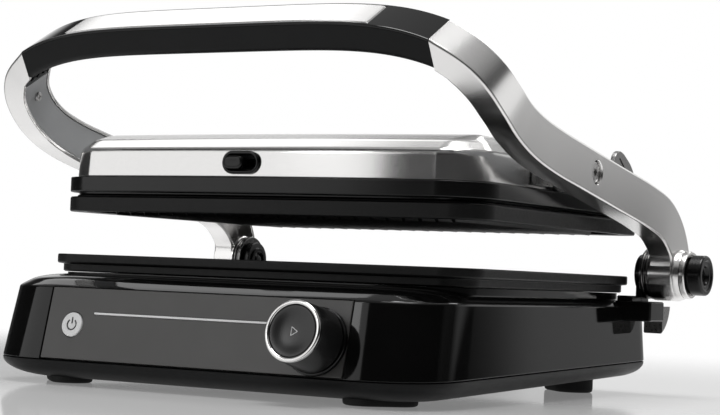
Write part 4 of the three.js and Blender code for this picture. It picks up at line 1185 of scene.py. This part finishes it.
def build_world():
    """A pale wall and ceiling behind the machine, a dark room in front, and a white background."""
    world = bpy.data.worlds.new("studio")
    bpy.context.scene.world = world
    world.use_nodes = True
    tree = world.node_tree
    tree.nodes.clear()
    ways = add_node(tree, "SeparateXYZ", Vector=add_node(tree, "TexCoord").outputs["Generated"]).outputs
    back = grey_ramp(
        tree, ways["Z"], (-1, 0.3), (-0.04, 0.4), (0.02, 0.46), (0.12, 0.5), (0.18, 1.0), (0.34, 1.0),
        (0.4, 0.12), (0.5, 0.12), (0.58, 0.4), (1, 0.4),
    )
    front = grey_ramp(
        tree, ways["Z"], (-1, 0.25), (-0.02, 0.25), (0.0, 0.02), (0.5, 0.04), (0.66, 0.34), (0.9, 0.5),
    )
    low_wall = grey_ramp(
        tree, ways["Y"], (0.25, 0), (0.35, 0.1), (0.7, 0.1), (0.78, 0), (0.896, 0), (0.904, 1),
    )
    high_wall = grey_ramp(tree, ways["Y"], (0.25, 0), (0.35, 0.1), (0.6, 0.1), (0.72, 1))
    above = grey_ramp(tree, ways["Z"], (0.045, 0), (0.075, 1))
    where = mixed(tree, above, low_wall, high_wall)
    around = add_node(tree, "Background", Color=mixed(tree, where, front, back))
    behind = add_node(tree, "Background", Color=(1, 1, 1, 1))
    mix = add_node(tree, "MixShader", Fac=add_node(tree, "LightPath").outputs["Is Camera Ray"])
    for place, seen in ((1, around), (2, behind)):
        tree.links.new(seen.outputs["Background"], mix.inputs[place])
    add_node(tree, "OutputWorld", Surface=mix.outputs["Shader"])


def build_lights():
    centre = (0, 0, 0.1)
    area_light("key_box", (-1.39, -1.69, 0.6), centre, (1.8, 1.3), 8.8)
    area_light("over_box", (0.42, 1.0, 1.85), (0.15, -0.1, 0.19), (0.34, 0.5), 0.42)
    area_light("bevel_box", (-1.15, 0.85, 1.5), (-0.05, -0.1, 0.17), (1.0, 0.9), 4)
    area_light("key_strip", (-0.86, -1.8, 1.05), centre, (0.3, 0.5), 1.6)
    area_light("top_box", (0.1, 0.0, 2.4), centre, (1.3, 1.3), 40)
    area_light("back_strip", (0.1, 1.7, 1.5), centre, (1.0, 0.4), 4)


def build_camera():
    """The standing point, direction and lens of the view from the front right."""
    place = Vector((0.62105, -1.04909, 0.07116))
    yaw, pitch, roll = 0.52543, 0.035718, 0.039839
    forward = Vector((-math.sin(yaw) * math.cos(pitch), math.cos(yaw) * math.cos(pitch), math.sin(pitch)))
    level_right = Vector((math.cos(yaw), math.sin(yaw), 0))
    level_up = level_right.cross(forward)
    right = math.cos(roll) * level_right + math.sin(roll) * level_up
    up = math.cos(roll) * level_up - math.sin(roll) * level_right
    data = bpy.data.cameras.new("camera")
    data.sensor_width = 36
    data.lens = 95.92
    data.clip_start, data.clip_end = 0.05, 50
    camera = bpy.data.objects.new("camera", data)
    turn = Matrix((right, up, -forward)).transposed()
    camera.matrix_world = Matrix.Translation(place) @ turn.to_4x4()
    bpy.context.scene.collection.objects.link(camera)
    bpy.context.scene.camera = camera


finish_inner_nodes()
build_camera()
build_world()
build_lights()
build_floor()
for build in (
    build_pan, build_housing, build_feet, build_gland, build_panel, build_power_button, build_knob,
):
    build()
build_plate("griddle_lower", "lower_plate", "base", LOWER_TOP, 1, 0, **LOWER_EDGE)
build_plate("griddle_upper", "upper_plate", "upper_unit", UPPER_BOTTOM, -1, UPPER_SHIFT, **UPPER_EDGE)
for build in (
    build_seat, build_cover, build_latch, build_side_brackets, build_grip, build_arms, build_hinges,
):
    build()

bpy.context.scene.view_settings.view_transform = "Standard"
